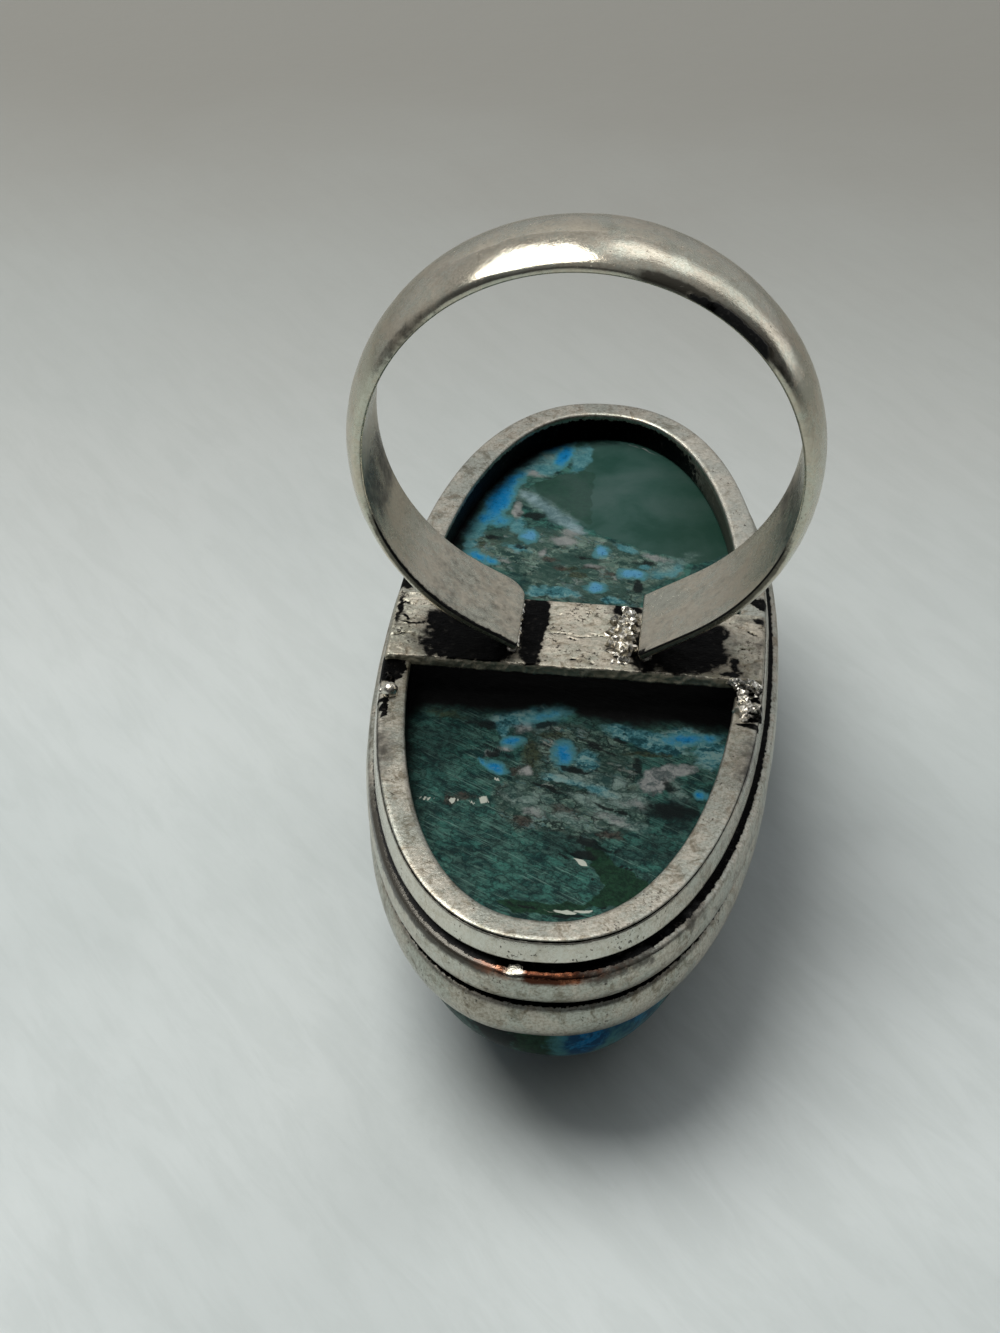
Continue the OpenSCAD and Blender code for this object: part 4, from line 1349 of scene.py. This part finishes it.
# Lilac also carries one painted highlight, a thin pale arc by the far wall.
shown = over(shown, share(mask("lilac", -0.15, 1.2, 1.8, 0.7), 0.9), lilac)
vein = tint(tree, step(blotches, 0.40, 0.62), (0.085, 0.150, 0.160), (0.210, 0.300, 0.320))
shown = over(shown, share(mask("vein", -0.1, 1.6, 1.2, 1.3), 0.9), vein)
rim = mask("blue", -0.35, 0.9, 2.0, 0.45)
shown = over(shown, share(rim, 0.7), (0.055, 0.190, 0.215))
deep = step(mark(tree, "blue"), 0.1, 0.9)
blue = tint(tree, deep, (0.035, 0.200, 0.300), (0.0, 0.145, 0.340))
paler = share(step(way["X"], -3.9, -3.2, 0.0, 0.75), step(way["Y"], 3.0, 5.0))
paler = share(paler, step(way["Y"], 13.0, 11.0))
blue = over(blue, paler, (0.090, 0.250, 0.370))
blue = over(blue, share(step(fine, 0.5, 0.66, 0.0, 0.45), sharp), (0.110, 0.230, 0.290))
blue = over(blue, step(fine, 0.48, 0.36, 0.0, 0.6), (0.001, 0.050, 0.110))
front = step(mark(tree, "sawn"), 1.0, 0.0)
blue = over(blue, share(step(blotches, 0.58, 0.46, 0.3, 0.9), front), (0.0, 0.028, 0.075))
shown = over(shown, mask("blue", 0.0, 1.2, 1.8, 0.5), blue)
print("nodes so far:", len(tree.nodes))

# %% Darker areas, cracks, painted shadow under the bridge and beside the left walls, and small white crystals
# Multiplied in: partly darker stone, partly painted shade beside the walls and in front of the bridge.
dim = share(mask("dim", -0.1, 1.3, 1.4, 0.9), 0.8)
shown = tint(tree, dim, shown, (0.30, 0.38, 0.40), "MULTIPLY")
shown = over(shown, share(mask("dark", -0.05, 1.2, 2.0, 0.4), 0.92), (0.002, 0.005, 0.005))
# Painted shadow: nearly black under the bridge and beside the left walls.
shown = over(shown, mask("shade", -0.85, 0.9, 1.2, 1.1), (0.0002, 0.0003, 0.0003))
shown = over(shown, mask("white", 0.1, 0.45, 4.0, 0.25), (0.42, 0.44, 0.38))
join(tree, shown, shader.inputs["Base Color"])
print("nodes so far:", len(tree.nodes))

# %% [markdown]
# The dome is polished, and the back is raw from the saw. So only the dome has a coat of gloss,
# less of it close under the lip, and only the back has bumps from the saw, few in its quiet part.

# %% Gloss and saw marks
back = mark(tree, "sawn")
gloss = share(step(back, 0.0, 1.0, 0.5, 0.0), step(way["Z"], 4.6, 2.4, 0.1, 1.0))
join(tree, gloss, shader.inputs["Coat Weight"])
shader.inputs["Coat Roughness"].default_value = 0.12
shader.inputs["Roughness"].default_value = 0.5
shader.inputs["Specular IOR Level"].default_value = 0.07
cut = calc(tree, "ADD", strokes, share(fine, 0.6))
rough = share(share(cut, back), step(quiet, 0.0, 1.0, 1.0, 0.15))
emboss(tree, shader, rough, strength=0.45, distance=0.1)
print(STONE.name, "has", len(tree.nodes), "nodes")

# %% [markdown]
# ## The stone's body
#
# The body is made of closed loops: flat ones out to the edge of the back, a few down its side, and
# the dome's, which shrink by the same rule as in the CAD. The dome is a little fuller at the near
# right, where more of it shows below the lip. A fan of triangles closes each end.

# %% Build the stone's body
# The flat back ends just inside its edge, which leaves a tiny bevel.
FLAT_SHARE = 0.996


def stone_rings(around, back_rings, dome_rings):
    """Loops of points from the middle of the sawn back outwards, down the side and over the dome."""
    side, girdle = oval(around, -SLOT_T - STONE_GAP), oval(around, -SLOT_T - 2 * STONE_GAP - GRIP)
    rings = []
    for k in range(1, back_rings + 1):
        rings.append(np.c_[side * (k / back_rings) * FLAT_SHARE, np.full(around, STONE_BACK)])
    for drop in (0.03, 0.3, 1.2, 2.2):
        rings.append(np.c_[side, np.full(around, STONE_BACK - drop)])
    shoulder = RIM_Z - (WALL_H - 0.15)
    way = np.degrees(np.arctan2(girdle[:, 1], girdle[:, 0]))
    fullness = 2 / (2.6 + 0.6 * fade(np.abs(way + 62), 8, 40))
    for k in range(dome_rings):
        a = math.radians(84) * k / (dome_rings - 1)
        shrink = math.cos(a) ** fullness
        rise = (math.sin(a) / math.sin(math.radians(84))) ** fullness
        rings.append(np.c_[shrink[:, None] * girdle, shoulder * (1 - rise)])
    return rings


def build_stone(around=320, back_rings=150, dome_rings=40):
    """The stone as one closed body, with a fan of faces in the middle of its back and its crown."""
    rings = stone_rings(around, back_rings, dome_rings)
    points = np.concatenate([*rings, [[0, 0, STONE_BACK], [0, 0, 0]]])
    faces = tube_faces(len(rings), around)
    back, crown, last = len(points) - 2, len(points) - 1, (len(rings) - 1) * around
    for here in range(around):
        after = (here + 1) % around
        faces.append((back, after, here))
        faces.append((crown, last + here, last + after))
    return make_piece("stone_body", points, faces, STONE)


stone = build_stone()

# %% Saw the back, then store one number per colour
def depth_inside(points, corners):
    """How far in mm each point lies inside a closed outline; outside it the number is negative."""
    spots = points[:, :2]
    corners = np.array(corners, float)
    nearest = np.full(len(spots), np.inf)
    odd = np.zeros(len(spots), bool)
    for a, b in zip(corners, np.roll(corners, -1, 0)):
        edge = b - a
        t = np.clip(((spots - a) @ edge) / (edge @ edge), 0, 1)
        nearest = np.minimum(nearest, np.hypot(*(spots - a - t[:, None] * edge).T))
        crossed = (a[1] > spots[:, 1]) != (b[1] > spots[:, 1])
        rise = edge[1] or 1.0  # nothing crosses a level edge, so any number but 0 will do
        odd ^= crossed & (spots[:, 0] < a[0] + (spots[:, 1] - a[1]) * edge[0] / rise)
    return np.where(odd, nearest, -nearest)


def saw_back(mesh):
    """Ripples and chips the back. Returns all points, and which of them are on the back."""
    points = points_of(mesh)
    back = points[:, 2] > STONE_BACK - 0.01
    chip = smooth(chart(points, CHIPS, 0.12, 0.5, 21), -0.1, 0.5)
    ripples = 0.02 * waver(points, 2.0, 12) + 0.008 * waver(points * [0.6, 2, 1], 0.5, 13)
    points[:, 2] += np.where(back, ripples - 0.02 - 0.16 * chip, 0)
    set_points(mesh, points)
    return points, back


def paint_stone(mesh, points, back):
    """Stores one number per colour: from the charts on the back, and from noise on the dome."""
    sway = np.c_[waver(points, 0.6, 31), waver(points, 0.6, 42), np.zeros(len(points))]
    bent = points + 0.16 * sway
    plain = fade(points[:, 1], -17.5, -15.0) * smooth(points[:, 2], 2.0, 3.5)
    for number, (name, (size, cut)) in enumerate(DOME_PATCHES.items()):
        charted = chart(bent, STONE_CHART.get(name, []), 0)
        for corners in STONE_OUTLINES.get(name, []):
            inside = depth_inside(bent, corners) / OUTLINE_EDGES.get(name, 0.4)
            charted = np.maximum(charted, inside)
        grown = 2.6 * waver(points, size, 50 + number, 2) - cut - 2 * plain
        grown = np.maximum(grown, chart(bent, DOME_EDGE.get(name, []), 0))
        store(mesh, name, np.clip(np.where(back, charted, grown), -1, 1.2))
    store(mesh, "sawn", back.astype(float))


paint_stone(stone.data, *saw_back(stone.data))
print("numbers on the stone:", [layer.name for layer in stone.data.attributes])

# %% [markdown]
# ## Riding on the frame
#
# Every piece rides on the CAD body, so it moves with it. The metal pieces stand for the CAD's
# soldered mount, and the stone for the CAD's stone.

# %% Tie the pieces to the CAD model
for piece in (wall, band, bridge, *lumps):
    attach(piece, "root")
    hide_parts("ring_mount")
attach(stone, "root")
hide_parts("stone")

# %% [markdown]
# ## Floor, light and camera
#
# The ring lies on a plain pale floor under soft light. The world is bright overhead and at the
# back, dim towards the viewer and dimmest to the near right, because the real metal mirrors such
# a room. One brighter strip stands at the back, right of the middle.

# %% The floor
def floor_finish():
    """A pale, faintly brushed floor, with painted shade that darkens it towards the back."""
    finish, tree, shader, place = new_finish("pale_floor")
    soft = cloud(tree, place, 0.03, 3.0)
    pale = tint(tree, ease(tree, soft, 0.35, 0.65), (0.51, 0.55, 0.54), (0.60, 0.64, 0.63))
    brushed = cloud(tree, stretched(tree, place, (0.3, 1.4, 1.0), -52), 0.5, 5.0, 0.7, 0.5)
    pale = tint(tree, ease(tree, brushed, 0.38, 0.66, 0.0, 0.16), pale, (0.36, 0.40, 0.38))
    away = put(tree, "ShaderNodeSeparateXYZ", {0: place}).outputs["Y"]
    # Painted shade: the floor's colour darkens towards the back.
    far = ease(tree, calc(tree, "ADD", away, calc(tree, "MULTIPLY", soft, 40.0)), 5.0, 110.0)
    join(tree, tint(tree, far, pale, (0.24, 0.235, 0.21)), shader.inputs["Base Color"])
    shader.inputs["Roughness"].default_value = 0.6
    emboss(tree, shader, cloud(tree, place, 0.25, 4.0), strength=0.2, distance=0.5)
    return finish


floor_mesh = bpy.data.meshes.new("floor")
floor_mesh.from_pydata([(-1, -1, 0), (1, -1, 0), (1, 1, 0), (-1, 1, 0)], [], [(0, 1, 2, 3)])
floor_mesh.materials.append(floor_finish())
floor = add_object("floor", floor_mesh)
print("floor, m:", list(floor.dimensions[:2]))

# %% The light
def aim(thing, place, target):
    """Puts a thing at a place and turns its front to a target."""
    thing.location = place
    thing.rotation_mode = "QUATERNION"
    thing.rotation_quaternion = (Vector(target) - Vector(place)).to_track_quat("-Z", "Y")


def area_light(name, place, size, power, shade=(1, 1, 1)):
    """A round lamp that looks at the ring."""
    data = bpy.data.lights.new(name, "AREA")
    data.shape, data.size, data.energy, data.color = "DISK", size, power, shade
    aim(add_object(name, data), place, (0, 0, 0.01))


area_light("overhead_left", (-0.17, 0.07, 0.42), size=0.35, power=1.85, shade=(1.0, 0.995, 0.97))

world = bpy.data.worlds.new("soft_room")
world.use_nodes = True
bpy.context.scene.world = world
sky = world.node_tree
around = put(sky, "ShaderNodeTexCoord").outputs["Generated"]
way = put(sky, "ShaderNodeSeparateXYZ", {0: around}).outputs
overhead = ease(sky, way["Z"], 0.5, 1.0, 0.0, 0.20)
away = ease(sky, way["Y"], -0.35, 0.5, 0.07, 0.42)
near_right = calc(sky, "MULTIPLY", ease(sky, way["X"], 0.0, 0.7), ease(sky, way["Y"], 0.60, 0.30))
dimmed = calc(sky, "MULTIPLY", near_right, ease(sky, way["Z"], 0.7, 0.1, 0.4, 0.85))
away = calc(sky, "MULTIPLY", away, calc(sky, "SUBTRACT", 1.0, dimmed))
strip = calc(sky, "MULTIPLY", ease(sky, way["Y"], 0.38, 0.47), ease(sky, way["Y"], 0.70, 0.56))
strip = calc(sky, "MULTIPLY", strip, ease(sky, way["X"], 0.0, 0.12))
strip = calc(sky, "MULTIPLY", strip, ease(sky, way["X"], 0.3, 0.7, 1.3, 0.75))
back = sky.nodes["Background"]
back.inputs["Color"].default_value = (0.96, 0.98, 1.0, 1)
join(sky, calc(sky, "ADD", overhead, calc(sky, "ADD", away, strip)), back.inputs["Strength"])
print("lights:", [lamp.name for lamp in bpy.data.lights], "and the sky of", len(sky.nodes), "nodes")

# %% [markdown]
# The camera was fitted to the photograph: its place and the way it looks come from matching the
# band, the rim and the bridge. The rows below are the picture's right, down and forward.

# %% The camera
VIEW_ROWS = [(0.99466736, 0.10184125, 0.01628506), (0.07346405, -0.58879752, -0.80493510),
             (-0.07238699, 0.80183904, -0.59313934)]
# The eye's place is in metres. The sensor's millimetres lie along the picture's height.
EYE = (0.0051063, -0.0952345, 0.0790973)
FOCAL_PIXELS, PICTURE_HEIGHT, SENSOR = 2600, 1333, 36
camera_data = bpy.data.cameras.new("camera")
camera_data.sensor_width = SENSOR
camera_data.lens = FOCAL_PIXELS / PICTURE_HEIGHT * SENSOR
camera_data.clip_start, camera_data.clip_end = 0.01, 10
camera = add_object("camera", camera_data)
right, down, ahead = (Vector(row) for row in VIEW_ROWS)
turn = Matrix((right, -down, -ahead)).transposed()
camera.matrix_world = Matrix.Translation(EYE) @ turn.to_4x4()
bpy.context.scene.camera = camera
bpy.context.scene.view_settings.view_transform = "Standard"
print("camera:", round(camera_data.lens, 1), "mm lens,", round(1000 * Vector(EYE).length), "mm away")
